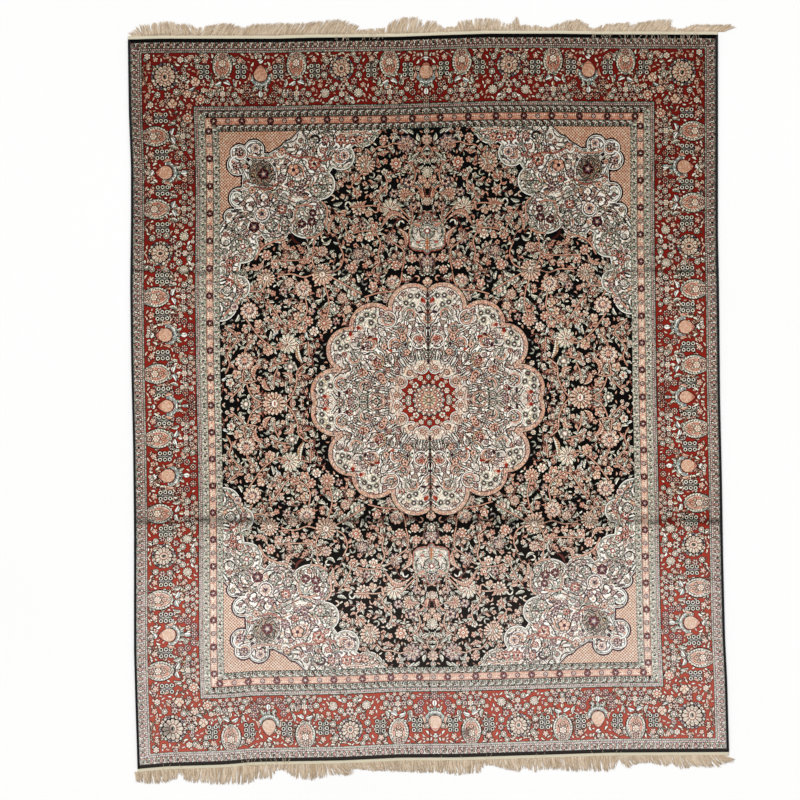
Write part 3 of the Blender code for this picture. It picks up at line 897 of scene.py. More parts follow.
# The dark field's flowers by kind. columns: column, row, radius, and turn where it has one
FIELD_ROSETTES = {
    "salmon": (
        (384, 139, 4.6), (391, 148, 3.6), (396, 163, 6), (356, 178, 6), (357, 192, 5), (350, 237, 5),
        (397, 265, 5.2), (413, 258, 4.8), (412, 270, 4.6), (353, 267, 5.6), (308, 258, 5), (309, 320, 5.2),
        (293, 324, 5.4), (267, 254, 5.4), (282, 321, 3.4), (311, 361, 3.8), (253, 373, 3.8),
        (256, 401.5, 3.4), (293, 401, 3),
    ),
    "blossom": (
        (394, 136.5, 4), (383, 152, 3.8), (340, 183, 4.2), (354, 228, 4.5), (374, 225, 5), (360, 237, 4.2),
        (368, 247, 3.6), (383, 247, 4), (287, 254, 4.2), (296, 254, 4.2), (285, 263, 4), (292.5, 267, 4),
        (301, 266, 4), (283, 246, 3.4), (374, 285, 4.6), (347, 320, 3.6), (303, 327, 5.2), (276, 263, 5.2),
        (270, 305, 4.2), (266, 311.5, 3.4), (274, 311.5, 3.4), (247, 327, 4.8), (275.5, 360, 4.2),
        (259, 360, 3), (265, 360, 3), (255.5, 387, 5.2),
    ),
    "bud": (
        (366, 152, 3.4, 60), (345, 174, 3.8, 330), (422, 180, 4.6, 40), (334, 186, 3.8, 200),
        (375, 195, 4), (369, 211, 4.2, 200), (403, 255, 4.2, 200), (347, 308, 4.4, 120),
        (303, 305, 4.8, 180), (285, 327, 4.2, 200), (299, 314, 4.4), (260, 323, 4.4), (268, 350, 5.4, 30),
        (282, 358, 3, 300), (302, 337, 3.4, 90), (236, 373, 4.8, 60),
    ),
    "thistle": (
        (407, 145, 9, 330), (391, 238, 6.6, 120), (358, 253, 5.6), (389, 298, 5.6, 330),
        (292, 378, 4.2, 200), (303, 379, 4.2, 160),
    ),
    "dahlia": ((366, 164, 10), (323, 273, 11), (267, 277, 9.2), (275, 401, 11.4)),
    "ember": (
        (385, 161, 3), (412, 161, 2.8), (416.5, 164.5, 2.6), (407, 166.5, 2.6), (411, 170, 2.8),
        (417.5, 169.5, 3), (414.5, 175.5, 2.4), (373, 253, 3), (366, 265, 3.2), (380, 260, 2.7),
        (380, 266, 3), (374, 271, 2.6), (369, 273, 2.6), (320, 293, 3.6), (246, 275, 3.2), (274, 292, 3),
        (263, 297, 3.2), (233.5, 324, 2.6), (229.5, 327, 2.4), (226, 331, 2.6), (231, 335, 2.8),
        (225, 338, 2.6), (236, 332, 2.4), (261, 342, 3.4), (296, 395, 2.4), (302, 399, 2.4),
        (260, 365, 2.4), (277.5, 370.5, 2.2), (277.5, 376, 2.2), (279.5, 381, 2.2), (228, 356, 2.2),
        (225, 361, 2.4), (232, 363, 2.4), (227, 368, 2.2),
    ),
    "daisy": ((384.5, 171.5, 3.4), (379, 177, 2.8), (389, 177, 3), (373, 184, 3.6), (230.5, 380.5, 4.4)),
    "frost": (
        (338, 175, 3.4), (344, 221, 4.8, 30), (342, 282, 5.6, 60), (355, 292, 7.6), (335, 308, 5.4),
        (291, 365, 6.2, 330), (289, 388, 3.8), (246, 402, 5.2), (424, 272, 4),
    ),
    "smoke": (
        (409, 182, 5.6), (403, 184, 3), (413, 207, 4.8), (394, 193, 4.6), (363, 225, 4.4), (312, 310, 4),
        (337, 320, 4), (284, 290, 4.4), (243, 337, 3), (302, 388, 4), (427.5, 264, 6),
    ),
    "marigold": ((405.5, 195, 7), (325, 322, 7.4)),
    "pearl": (
        (383, 190, 2.8), (370, 236, 5), (376, 243, 2.8), (407.5, 280, 3.4), (315, 330, 4.8),
        (268, 318, 3.4), (276.5, 317.5, 3.8), (271, 324, 3.6), (276.5, 328, 3.6), (252, 340, 4.2),
        (233, 341.5, 2.2), (237, 340, 2.2), (229, 344, 2.2), (271, 368, 2.4), (270, 373.5, 2.4),
        (270.5, 378.5, 2.4), (274.5, 382, 2.4), (233, 387, 2.4), (230, 392, 2.2), (227, 395, 2.2),
        (242, 388, 2.6), (240, 393, 2.2), (232, 398, 2.2),
    ),
    "aster": ((359, 207, 7.2),),
    "crown": ((390, 209, 10.5, 60), (288, 343, 10.4, 60)),
    "lotus": (
        (322, 250, 5.4), (290, 280, 4.8, 180), (304, 286, 8.6, 180), (393, 282, 6.8, 60),
        (342, 297, 5, 90), (250, 308, 9, 180), (245, 358, 9.4, 180), (309, 350, 4.2),
    ),
    "berry": ((302, 370, 3.8),),
}

# Flowers that stand on the rug's long middle line. columns: kind, row, radius, turn
AXIS_ROSETTES = (
    ("lotus", 140.5, 5.4, 0), ("crown", 171, 5.6, 180), ("bud", 186, 3.6, 0), ("lotus", 202, 4.6, 0),
    ("frost", 131, 2.8, 0), ("thistle", 262.5, 6.4, 0), ("frost", 270.5, 4.4, 180), ("bud", 283, 4.6, 0),
)

# columns: column, row, turn, length, width, bend, silk
FIELD_LEAVES = (
    (409, 133, 300, 9, 3, 0.1, "white"), (414, 134, 300, 9, 3, 0.1, "ivory"),
    (420, 141, 345, 8, 3.6, -0.1, "ivory"), (412, 157, 55, 8.5, 3, 0.1, "ivory"),
    (408, 160, 20, 6, 2.8, 0.2, "ivory"), (419, 159, 130, 6, 2.6, -0.3, "sage"),
    (421.5, 188, 300, 6.5, 2.4, 0, "white"), (420, 190, 305, 8, 2.2, 0.15, "salmon"),
    (418, 200, 350, 7.5, 3, 0.1, "sage"), (423.5, 205, 345, 7, 2.4, 0.1, "ivory"),
    (424.5, 199, 350, 10, 3.6, -0.12, "salmon"), (330, 233, 20, 20, 5.2, -0.24, "rose"),
    (333, 204, 75, 10, 3.4, 0.1, "sage"), (340, 212, 80, 8, 3, -0.1, "rose"),
    (381, 228, 80, 30, 5.4, -0.42, "salmon"), (407, 246, 335, 20, 5, 0.2, "salmon"),
    (284, 233, 145, 20, 4.6, 0.3, "salmon"), (292, 233, 135, 14, 2.6, 0.2, "walnut"),
    (250, 268, 55, 18, 4.2, 0.24, "salmon"), (262, 272, 240, 9, 3, 0.3, "ivory"),
    (236, 320, 25, 8, 3.4, 0.2, "ivory"), (262, 362, 200, 18, 5.4, 0.3, "salmon"),
    (264, 377, 150, 14, 5, 0.2, "salmon"), (283, 371, 150, 13, 5, -0.4, "salmon"),
    (303, 362, 350, 20, 4.6, -0.14, "honey"), (274, 338, 40, 8, 2.6, -0.3, "white"),
    (307, 331, 160, 7, 3, 0.2, "white"), (270, 339, 10, 10, 3, 0.1, "ivory"),
    (226, 374, 80, 8, 3, 0.1, "ivory"), (222, 378, 60, 6, 2.6, 0.1, "white"),
    (346, 213, 60, 6, 2.4, 0.1, "ivory"), (401, 183, 200, 6, 2.6, 0.2, "sage"),
    (341, 279, 60, 12, 4, 0.1, "sage"), (360, 282, 345, 9, 3.4, 0.1, "ivory"),
    (375, 296, 110, 9, 3.4, 0.1, "ivory"), (323, 243, 60, 10, 3.2, 0.2, "sage"),
    (300, 296, 95, 6, 2.6, 0.1, "ivory"), (316, 300, 70, 8, 3.4, 0.2, "ivory"),
)

# The long stems over the field, each as its points
FIELD_VINES = (
    ((429, 165), (430, 158), (434, 150), (427, 145), (422, 152), (427, 160), (429.5, 166)),
    ((406, 161), (412, 165), (414.5, 170), (415, 178), (412, 186)),
    ((429, 181), (424, 186), (420, 191), (412, 194), (405, 195)),
    ((397, 205), (404, 212), (412, 219), (413, 212), (411, 205)),
    ((413, 219), (411, 228), (410.5, 238), (411.5, 247)),
    ((391, 240), (398, 245), (404, 250), (405, 260), (403, 270)),
    ((403, 272), (401, 282), (395, 290), (380, 292), (366, 296)),
    ((314, 233), (314, 245), (313, 260), (318, 270)), ((325, 284), (328, 292), (330, 305), (327, 318)),
    ((306, 296), (308, 308), (305, 316), (298, 322), (290, 327)),
    ((272, 259), (285, 259), (298, 259), (310, 257), (316, 252)),
    ((276, 272), (285, 273), (294, 273), (304, 276), (312, 274)),
    ((330, 275), (341, 281), (352, 287), (362, 293)),
    ((345, 237), (356, 232), (367, 230), (378, 231), (388, 236)),
    ((376, 232), (381, 242), (379, 252), (380, 262), (374, 268)),
    ((350, 206), (360, 206), (372, 205), (384, 207)), ((385, 175), (387, 184), (378, 196), (382, 204)),
    ((357, 198), (356, 190), (352, 184), (362, 172), (367, 160)),
    ((372, 153), (378, 147), (386, 146), (394, 143), (404, 145)),
    ((247, 318), (253, 326), (259, 334), (268, 342), (277, 347), (286, 344)),
    ((268, 300), (276, 310), (284, 322), (291, 326)),
    ((245, 366), (243, 374), (243, 382), (238, 389), (231, 396)),
    ((245, 374), (249, 388), (254, 396), (262, 401)), ((243, 380), (250, 381), (257, 379)),
    ((286, 401), (292, 394), (297, 382), (298, 370), (305, 363)),
    ((275, 357), (278, 366), (275, 374), (274, 384)), ((270, 366), (280, 362), (288, 361)),
    ((309, 341), (302, 343), (296, 344)), ((309, 341), (309, 346), (310, 356)),
    ((340, 245), (344, 255), (341, 266), (334, 271)), ((335, 210), (341, 218), (346, 228), (350, 236)),
    ((226, 324), (232, 330), (238, 336), (233, 345), (228, 352), (230, 362), (226, 371)),
    ((252, 340), (247, 345), (245, 352)), ((250, 300), (247, 294), (251, 290), (260, 290), (266, 285)),
)

# The ivory tablets above and below the medallion, and the medallion's own lobes
TABLET_EDGE = (
    (430, 212), (425, 214), (423, 219), (422, 222), (416, 222), (412, 226), (410.5, 233), (411, 241),
    (412, 247), (418, 249.5), (424, 250), (427, 253), (430, 255),
)
# columns: column, row, radius of the medallion's lobes
LOBES = ((413, 307, 24), (374, 326, 24), (350, 349, 23), (335, 391, 24))
HEART_RADIUS = 97.0
LOBE_COUNT = 16
RIM_WIDTH = 4.6

# The flowers of the medallion. columns: kind, column, row, radius, and turn where it has one
MEDALLION_ROSETTES = (
    *(("eye", x, y, 3) for x, y in (
        (411.5, 295.5), (418.5, 295.5), (407, 302.5), (413.5, 305), (367.5, 314), (374.5, 315),
        (362.5, 318.5), (372, 322), (344, 335.5), (338.5, 341), (341, 347), (347.5, 345), (328, 376.5),
        (321.5, 382.5), (331, 384.5), (322, 389.5))),
    ("cinder", 400, 308, 2.6), ("petal", 404, 337, 3.4), ("cinder", 420, 339, 2.8),
    ("violet", 396, 345, 2.6), ("petal", 385, 346, 3.2, 90), ("cinder", 379, 364, 3),
    ("petal", 366, 372, 3), ("violet", 371, 384, 3), ("fern", 364, 397, 3.6), ("petal", 384, 380, 3.4, 120),
    ("cinder", 350, 390, 2.8), ("fern", 341, 399, 3.6), ("cinder", 326, 399, 2.4), ("petal", 408, 352, 3.2),
)
# columns: column, row, turn, length, width, silk
MEDALLION_DROPS = (
    (426, 303, 330, 7, 3.6, "brick"), (424, 302, 330, 4.5, 2.6, "madder"),
    (363, 329, 320, 7, 3.8, "salmon"), (361, 328, 300, 4.6, 3.4, "madder"),
    (353, 338, 340, 8, 3.8, "salmon"), (352, 335, 340, 4.8, 3.4, "madder"),
    (330, 395, 270, 7, 3.8, "salmon"), (327, 395, 270, 4.8, 3.2, "madder"),
    (373, 335, 240, 5.5, 2.8, "walnut"), (379, 338, 270, 6.5, 2.6, "madder"),
    (359, 347, 10, 6.5, 3.4, "forest"), (365, 349, 340, 5.5, 3.2, "plum"), (424, 312, 270, 6, 3, "plum"),
    (340, 395, 350, 5.5, 3, "plum"), (346, 393, 30, 5, 2.8, "walnut"), (406, 346, 20, 4, 2.6, "plum"),
    (389, 350, 90, 5, 2.4, "brick"), (420, 340, 20, 3.6, 2.6, "brick"), (374, 360, 60, 4, 2.2, "walnut"),
    (374, 377, 90, 4.5, 2.2, "walnut"),
)
CENTRE_ROSETTES = (
    ("daisy", 416, 385, 3.2), ("pearl", 421, 378, 2.6), ("pearl", 411, 391, 2.8),
    ("frost", 409, 398, 2.8), ("blossom", 404, 394, 2.2), ("blossom", 412, 382, 2.2),
    ("blossom", 417, 376, 2), ("blossom", 425, 382, 2.2), ("pearl", 404, 401, 2.2),
    ("frost", 429.5, 377, 2.6),
)
CENTRE_RADIUS = 29.8


def away_from_middle(chart, radius):
    """The knots within a radius of the rug's middle."""
    dx = chart.x[None, :] - MIDDLE_COLUMN
    dy = chart.y[:, None] - MIDDLE_ROW
    return np.hypot(dx, dy * 1.02) < radius


def round_mask(chart, x, y, radius):
    """The knots within a radius of a place."""
    x, y = squared(x, y)
    return np.hypot(chart.x[None, :] - x, chart.y[:, None] - y) < radius


# columns: column, row, radius, silk of the scroll, flower
MEDALLION_SHELLS = (
    (389, 319, 8.6, "white", "mist"), (411, 314, 7.6, "sage", "fern"), (342, 382, 8.6, "white", "mist"),
    (355, 357, 7.6, "sage", "fern"), (420, 341, 8, "white", "shell"), (378, 401, 8.4, "salmon", "mist"),
    (378, 361, 7.4, "honey", "cinder"), (366, 386, 8.4, "sage", "mist"), (370, 344, 8, "honey", "violet"),
    (396, 344, 8, "white", "petal"), (362, 371, 7, "ivory", "cinder"), (352, 400, 8, "sage", "violet"),
    (429, 318, 7, "ivory", "violet"), (402, 330, 6.6, "salmon", "mist"), (405, 353, 6, "sky", "violet"),
    (381, 376, 6.4, "sky", "cinder"),
)


def draw_all(chart, rosettes):
    """A table of flowers, each turned its own way unless the table turns it."""
    for kind, x, y, radius, *turn in rosettes:
        own_turn = turn[0] if turn else (x * 97 + y * 31) % 360
        draw_rosette(chart, *squared(x, y), radius, kind, own_turn)


def wandering(x, y, seed, longest, shortest):
    """A smooth value that wanders over the chart, and how steeply it changes."""
    shuffle = np.random.default_rng(seed)
    value = 0.0
    for _ in range(9):
        heading = shuffle.uniform(0, 2 * math.pi)
        wave = 2 * math.pi / shuffle.uniform(shortest, longest)
        along = x * math.cos(heading) + y * math.sin(heading)
        value = value + np.sin(wave * along + shuffle.uniform(0, 6.3))
    slope = np.hypot(*np.gradient(value, RULING_KNOT))
    return value, np.minimum(slope, 6.0 * slope.mean()) + 0.05


def weave_tracery(chart, region, ground, seed, pitch, width, lines, patches=(), place=None):
    """Curled lines over the free ground, with small patches of colour between them."""
    x, y = place or (chart.x[None, :], chart.y[:, None])
    value, slope = wandering(x, y, seed, pitch * 9, pitch * 3.2)
    other, _ = wandering(x, y, seed + 1, pitch * 5, pitch * 2)
    steepness = slope.mean()
    rings = value / (pitch * steepness)
    from_line = np.abs(rings % 1.0 - 0.5) * pitch * steepness / slope
    free = region & (chart.knots == SILK[ground])
    choice = (np.floor(rings + 0.5) * 3 + np.floor(other * 1.3)).astype(int)
    if patches:
        fills = np.array([SILK[name] for name in patches], np.uint8)
        chart.knots[free] = fills[choice[free] % len(fills)]
    strokes = np.array([SILK[name] for name in lines], np.uint8)
    stroke = free & (from_line < width)
    chart.knots[stroke] = strokes[np.floor(other[stroke]).astype(int) % len(strokes)]


def draw_straps(chart, straps, edge=None, boldness=0.8, long=4.4, wide=1.9, spacing=13):
    """A table of stems, each with leaves to either side."""
    for silk, width, points in straps:
        places = [squared(x, y) for x, y in points]
        path = smooth_path([(float(x), float(y)) for x, y in places])
        for number, step in enumerate(range(8, len(path) - 6, spacing)):
            run = path[step + 3] - path[step - 3]
            heading = math.degrees(math.atan2(run[0], -run[1]))
            side = 1 if number % 2 else -1
            name = ("sage", "ivory", "rose")[number % 3]
            turn = heading + side * 50
            draw_leaf(chart, *path[step], turn, long, wide, name, "midnight", None, 0.2 * side)
        draw_vine(chart, places, width * boldness, silk, edge)


def strew(chart, region, ground, pitch, clear, seed, pick):
    """Fills free ground with small motifs, wherever one fits with room round it."""
    shuffle = np.random.default_rng(seed)
    x, y = np.meshgrid(np.arange(CHART_LEFT, MIDDLE_COLUMN, pitch), np.arange(CHART_TOP, MIDDLE_ROW, pitch))
    x = x.ravel() + shuffle.uniform(-0.45, 0.45, x.size) * pitch
    y = y.ravel() + shuffle.uniform(-0.45, 0.45, y.size) * pitch
    draws = shuffle.uniform(0, 1, (x.size, 3))
    column = np.clip(np.searchsorted(chart.x, x), 0, len(chart.x) - 1)
    row = np.clip(np.searchsorted(chart.y, y), 0, len(chart.y) - 1)
    free = region[row, column] & (chart.knots[row, column] == SILK[ground])
    for place_x, place_y, draw in zip(x[free], y[free], draws[free]):
        knots, dx, dy = chart.window(place_x, place_y, clear)
        near = np.hypot(dx, dy) < clear
        if knots.size and (knots[near] == SILK[ground]).all():
            pick(chart, place_x, place_y, clear, draw)


def draw_plain_leaf(chart, x, y, turn, length, width, silk):
    """A leaf shape in one silk."""
    knots, dx, dy = chart.window(x, y, length + width)
    along, across = turned(dx, dy, turn)
    share = np.clip(along / length, 0.0, 1.0)
    half = width / 2 * np.sin(np.pi * share**0.8) ** 0.8
    knots[(along > 0) & (along < length) & (np.abs(across) < half)] = SILK[silk]


# What a few knots of a silk may turn to, as the weaver shades each form
SHADES = {
    "salmon": ("salmon", "salmon", "rose", "salmon"),
    "rose": ("rose", "rose", "ivory", "salmon"),
    "ivory": ("ivory", "ivory", "white", "ivory"),
    "sage": ("sage", "sage", "ivory", "stone"),
    "stone": ("stone", "sage", "mauve", "forest"),
    "sky": ("sky", "sky", "white", "stone"),
    "mauve": ("mauve", "mauve", "stone", "plum"),
    "honey": ("honey", "honey", "salmon", "ivory"),
    "dusk": ("dusk", "dusk", "salmon", "brick"),
    "forest": ("forest", "forest", "midnight", "stone"),
    "madder": ("madder",) * 4,
}
# How many knots wide each shaded patch is
SHADE_PATCH = 3


def shade_knots(chart):
    """Shades every form a few knots at a time."""
    table = np.arange(len(SILKS), dtype=np.uint8)[:, None].repeat(4, 1)
    for name, others in SHADES.items():
        table[SILK[name]] = [SILK[other] for other in others]
    rows, columns = chart.knots.shape
    patches = (rows // SHADE_PATCH + 1, columns // SHADE_PATCH + 1)
    chance = np.random.default_rng(5).integers(0, 4, patches)
    chance = chance.repeat(SHADE_PATCH, 0).repeat(SHADE_PATCH, 1)[:rows, :columns]
    chart.knots = table[chart.knots, chance]


# The sprays' looks: stems, leaves, outline, leaf length and width, and flowers at the tips
FIELD_SPRAY = (
    ("salmon", "dusk"), ("sage", "ivory", "ivory", "sage", "rose", "salmon"), "midnight", 6.4, 2.4,
    ("bud", "petal", "pearl"),
)

BORDER_SPRAY = (
    ("dusk", "salmon"), ("ivory", "rose", "ivory", "sage", "rose", "salmon"), "midnight", 4.6, 1.8,
    ("smoke", "frost", "petal"),
)


def draw_spray(chart, x, y, turn, length, curl, draw, look):
    """A curved stem with leaves to either side and a bud at its tip."""
    stems, silks, outline, long, wide, tips = look
    stem = stems[int(draw * 90) % len(stems)]
    heading = turn
    for step in range(int(length)):
        draw_disc(chart, x, y, 1.1, outline)
        draw_disc(chart, x, y, 0.62, stem)
        if step % 4 == 2:
            side = 1 if step % 8 == 2 else -1
            silk = silks[(step + int(draw * 50)) % len(silks)]
            draw_leaf(chart, x, y, heading + side * 48, long, wide, silk, outline, None, 0.22 * side)
        x, y = offset(x, y, 1.0, 0.0, heading)
        heading += curl / length
    draw_rosette(chart, x, y, 2.6, tips[int(draw * 9) % len(tips)], heading)


def weave_sprays(chart, region, pitch, seed, look):
    """Leafy sprays all over a region, each curling its own way."""
    shuffle = np.random.default_rng(seed)
    for row in np.arange(CHART_TOP, MIDDLE_ROW, pitch):
        for column in np.arange(CHART_LEFT, MIDDLE_COLUMN, pitch):
            x, y = column + shuffle.uniform(0, pitch), row + shuffle.uniform(0, pitch)
            turn, curl, draw = shuffle.uniform(-180, 180), shuffle.uniform(-150, 150), shuffle.uniform(0, 1)
            knot_column = min(np.searchsorted(chart.x, x), len(chart.x) - 1)
            knot_row = min(np.searchsorted(chart.y, y), len(chart.y) - 1)
            if region[knot_row, knot_column]:
                draw_spray(chart, x, y, turn, pitch * 1.35, curl, draw, look)


def field_sprig(chart, x, y, room, draw):
    """A small flower, a forked sprig or a leaf for the dark ground."""
    turn = draw[0] * 360
    if room > 3.3:
        kinds = ("blossom", "salmon", "ember", "pearl", "smoke", "blossom")
        draw_rosette(chart, x, y, room - 0.7, kinds[int(draw[1] * 6)], turn)
        return
    silks = ("sage", "ivory", "rose", "sage", "salmon", "stone", "ivory")
    silk = silks[int(draw[1] * 7)]
    base = offset(x, y, -room * 0.8, 0, turn)
    if room > 2.3:
        for side in (-1, 1):
            draw_leaf(chart, *base, turn + side * 32, room * 1.7, 1.6, silk, None, None, 0.15 * side)
    else:
        draw_leaf(chart, *base, turn, room * 1.8, 1.5, silk, None, None, 0.4 * (draw[2] - 0.5))


def ivory_sprig(chart, x, y, room, draw):
    """A small flower or leaf for the ivory ground."""
    turn = draw[0] * 360
    if room > 2.3:
        kinds = ("violet", "mist", "cinder", "petal", "fern", "mist", "violet")
        draw_rosette(chart, x, y, room - 0.5, kinds[int(draw[1] * 7)], turn)
    else:
        silk = ("sage", "salmon", "stone", "dusk", "mauve", "honey")[int(draw[1] * 6)]
        base = offset(x, y, -room, 0, turn)
        draw_leaf(chart, *base, turn, room * 2, room, silk, ("forest", "walnut", "plum")[int(draw[2] * 3)])


def border_sprig(chart, x, y, room, draw):
    """A slim leaf for the red ground."""
    turn = draw[0] * 360
    silk = ("rose", "rose", "salmon", "ivory", "rose")[int(draw[1] * 5)]
    base = offset(x, y, -room * 0.95, 0, turn)
    draw_leaf(chart, *base, turn, room * 1.9, 1.5, silk, "plum", None, 0.4 * (draw[2] - 0.5))


def weave_arabesque(chart, region, seed, pitch, place=None):
    """Ivory ground curled over twice, broadly first and then finely inside the broad forms."""
    free = region & (chart.knots == SILK["ivory"])
    weave_tracery(chart, free, "ivory", seed, pitch, 0.5, IVORY_LINES, IVORY_FILLS, place)
    for ground, fine_pitch, width, lines, patches in ARABESQUE_FILLS:
        weave_tracery(chart, free, ground, seed + 4, fine_pitch, width, lines, patches, place)


def weave_net(chart, region):
    """The corner's net, small pale diamonds between dark lines."""
    down = chart.y[:, None] / NET_PITCH
    across = chart.x[None, :] / NET_PITCH
    rising = np.abs((across + down) % 1 - 0.5)
    falling = np.abs((across - down) % 1 - 0.5)
    chart.knots[region] = SILK["salmon"]
    chart.knots[region & (rising < 0.3) & (falling < 0.3)] = SILK["rose"]
    chart.knots[region & ((rising > 0.42) | (falling > 0.42))] = SILK["honey"]
    chart.knots[region & (rising > 0.27) & (falling > 0.27)] = SILK["walnut"]


def draw_shell(chart, x, y, radius, silk, kind):
    """A round scroll of fine lines, with a flower in its eye."""
    start = (x * 37 + y * 53) % 360
    draw_ring(chart, x, y, radius, 0.6, "walnut", start, 250)
    draw_ring(chart, x, y, radius - 0.8, 0.9, silk, start, 230)
    draw_ring(chart, x, y, radius - 1.6, 0.6, "forest", start + 20, 200)
    draw_ring(chart, x, y, radius - 3.0, 1.5, "salmon", start + 120, 190)
    draw_ring(chart, x, y, radius - 3.9, 0.6, "walnut", start + 120, 190)
    draw_rosette(chart, *offset(x, y, radius * 0.15, 0.0, start), radius * 0.38, kind, start)


# The lines and the patches of the ivory ground's broad curls
IVORY_LINES = ("midnight", "walnut", "forest", "midnight")
IVORY_FILLS = (
    "white", "salmon", "ivory", "sage", "white", "rose", "white", "stone", "ivory", "rose", "white",
    "mauve",
)

# What curls inside each broad form of the ivory ground: ground, pitch, half width, lines, patches
ARABESQUE_FILLS = (
    ("ivory", 2.9, 0.36, ("stone", "forest", "dusk", "midnight"), ("ivory", "white", "ivory", "sky")),
    ("sage", 2.6, 0.36, ("forest", "midnight", "walnut"), ("sage", "ivory", "stone")),
    ("salmon", 2.6, 0.36, ("walnut", "dusk", "brick"), ("salmon", "rose", "salmon", "honey")),
    ("stone", 2.6, 0.4, ("midnight", "plum"), ("stone", "sage")),
    ("rose", 2.8, 0.34, ("dusk", "walnut"), ("rose", "ivory")),
    ("mauve", 2.6, 0.36, ("plum", "midnight"), ("mauve", "stone")),
)

# The round palmette of the spandrel: its place, and its rings from the outside in
PALMETTE_PLACE = (261, 172)
PALMETTE_RINGS = ((14.6, "walnut"), (14, "ivory"), (13.2, "forest"), (12.4, "stone"))


def weave_spandrel(chart, field):
    """The ivory arabesque between the net and the dark ground."""
    net = net_region(chart) & field
    ivory = corner_region(chart, SPANDREL_LINE, SPANDREL_LOBES) & field & ~net
    chart.knots[grown(ivory | net, 0.8) & field] = SILK["midnight"]
    chart.knots[ivory] = SILK["ivory"]
    outside = field & ~(ivory | net)
    edges = (
        (outside, 3.0, "forest"), (outside, 2.5, "sage"), (outside, 1.5, "walnut"), (outside, 1.0, "white"),
        (net, 2.1, "forest"), (net, 1.6, "white"), (net, 0.6, "midnight"),
    )
    for mask, distance, silk in edges:
        chart.knots[grown(mask, distance) & ivory] = SILK[silk]
    draw_straps(chart, SPANDREL_STRAPS, "walnut")
    for x, y, radius, turns, start, hand, width, silk in SPANDREL_SCROLLS:
        draw_scroll(chart, *squared(x, y), radius, turns, start, hand, width + 1.0, "forest")
        draw_scroll(chart, *squared(x, y), radius, turns, start, hand, width, silk)
    for x, y, radius, silk, kind in SPANDREL_SHELLS:
        draw_shell(chart, *squared(x, y), radius, silk, kind)
    for radius, silk in PALMETTE_RINGS:
        draw_disc(chart, *squared(*PALMETTE_PLACE), radius, silk)
    heart = round_mask(chart, *PALMETTE_PLACE, radius)
    weave_tracery(chart, heart, "stone", 31, 2.4, 0.5, ("midnight", "forest", "midnight"),
                  ("stone", "forest", "honey", "stone", "dusk", "sage"))
    draw_all(chart, SPANDREL_ROSETTES)
    for room, seed in ((3.0, 11), (2.4, 12)):
        strew(chart, ivory, "ivory", room * 1.4, room, seed, ivory_sprig)
    weave_arabesque(chart, ivory, 33, 4.8)
    weave_net(chart, net)
    chart.knots[grown(ivory, 0.9) & net] = SILK["plum"]


# columns: column, row, radius, silk of the scroll, flower
SPANDREL_SHELLS = (
    (296, 171, 10, "ivory", "shell"), (340, 156, 8, "white", "petal"), (262, 213, 8, "white", "shell"),
    (241, 245, 10, "sage", "fern"), (284, 226, 8.6, "ivory", "mist"), (318, 187, 9.5, "sage", "mist"),
    (240, 152, 7, "white", "violet"),
)

# The ringed shells that bite into the red centre: bearings, distance and radius
BITE_BEARINGS = (11.25, 33.75, 56.25, 78.75)
BITE_DISTANCE = 33.4
BITE_RADIUS = 7.2

# The small spots round the centre's rosette, and how far out they stand
SPOT_COUNT = 14
SPOT_DISTANCE = 10.6

# The beads down the medallion's middle line: how many, the first one's row, and pitch
BEAD_COUNT = 30
BEAD_TOP = 286.0
BEAD_PITCH = 2.8

# The corners of the medallion's lobes where berries lie on plain ivory. columns: column,
# row, radius
BERRY_GROUNDS = ((412, 300, 9.4), (369, 318, 9), (343, 341, 9), (326, 384, 9))


def weave_medallion(chart):
    """The scalloped medallion with its red centre."""
    body = away_from_middle(chart, HEART_RADIUS)
    cream = away_from_middle(chart, HEART_RADIUS - RIM_WIDTH)
    for x, y, radius in LOBES:
        body |= round_mask(chart, x, y, radius)
        cream |= round_mask(chart, x, y, radius - RIM_WIDTH)
    chart.knots[grown(body, 0.9)] = SILK["midnight"]
    chart.knots[body] = SILK["salmon"]
    weave_tracery(chart, body, "salmon", 35, 2.4, 0.35, ("dusk", "rose", "mauve"),
                  ("salmon", "rose", "salmon", "honey", "stone"))
    chart.knots[grown(cream, 0.6) & body] = SILK["walnut"]
    chart.knots[cream] = SILK["ivory"]
    curled = cream.copy()
    for x, y, radius in BERRY_GROUNDS:
        curled &= ~round_mask(chart, x, y, radius)
    for x, y, radius, silk, kind in MEDALLION_SHELLS:
        draw_shell(chart, *squared(x, y), radius, silk, kind)
    draw_all(chart, MEDALLION_ROSETTES)
    for x, y, turn, length, width, silk in MEDALLION_DROPS:
        draw_plain_leaf(chart, *squared(x, y), turn, length, width, silk)
    strew(chart, curled, "ivory", 6.4, 2.8, 21, ivory_sprig)
    weave_arabesque(chart, curled, 37, 3.9, lobed_place(chart))
    weave_tracery(chart, cream, "ivory", 45, 3.0, 0.36, ("stone", "forest", "dusk", "sage"),
                  ("ivory", "white", "ivory", "honey"))
    for number in range(BEAD_COUNT):
        radius = 0.9 + 0.5 * (number % 3 == 0)
        silk = ("forest", "walnut", "forest", "plum")[number % 4]
        draw_disc(chart, MIDDLE_COLUMN, BEAD_TOP + number * BEAD_PITCH, radius, silk, 1.7)
    weave_centre(chart)


def lobed_place(chart):
    """Each knot's distance from the middle and its way along its own half lobe."""
    dx = chart.x[None, :] - MIDDLE_COLUMN
    dy = chart.y[:, None] - MIDDLE_ROW
    distance = np.hypot(dx, dy)
    bearing = np.arctan2(-dx, -dy) * LOBE_COUNT / (2 * math.pi)
    way = np.abs(bearing % 1.0 - 0.5) * 2 * math.pi / LOBE_COUNT
    return distance, way * distance


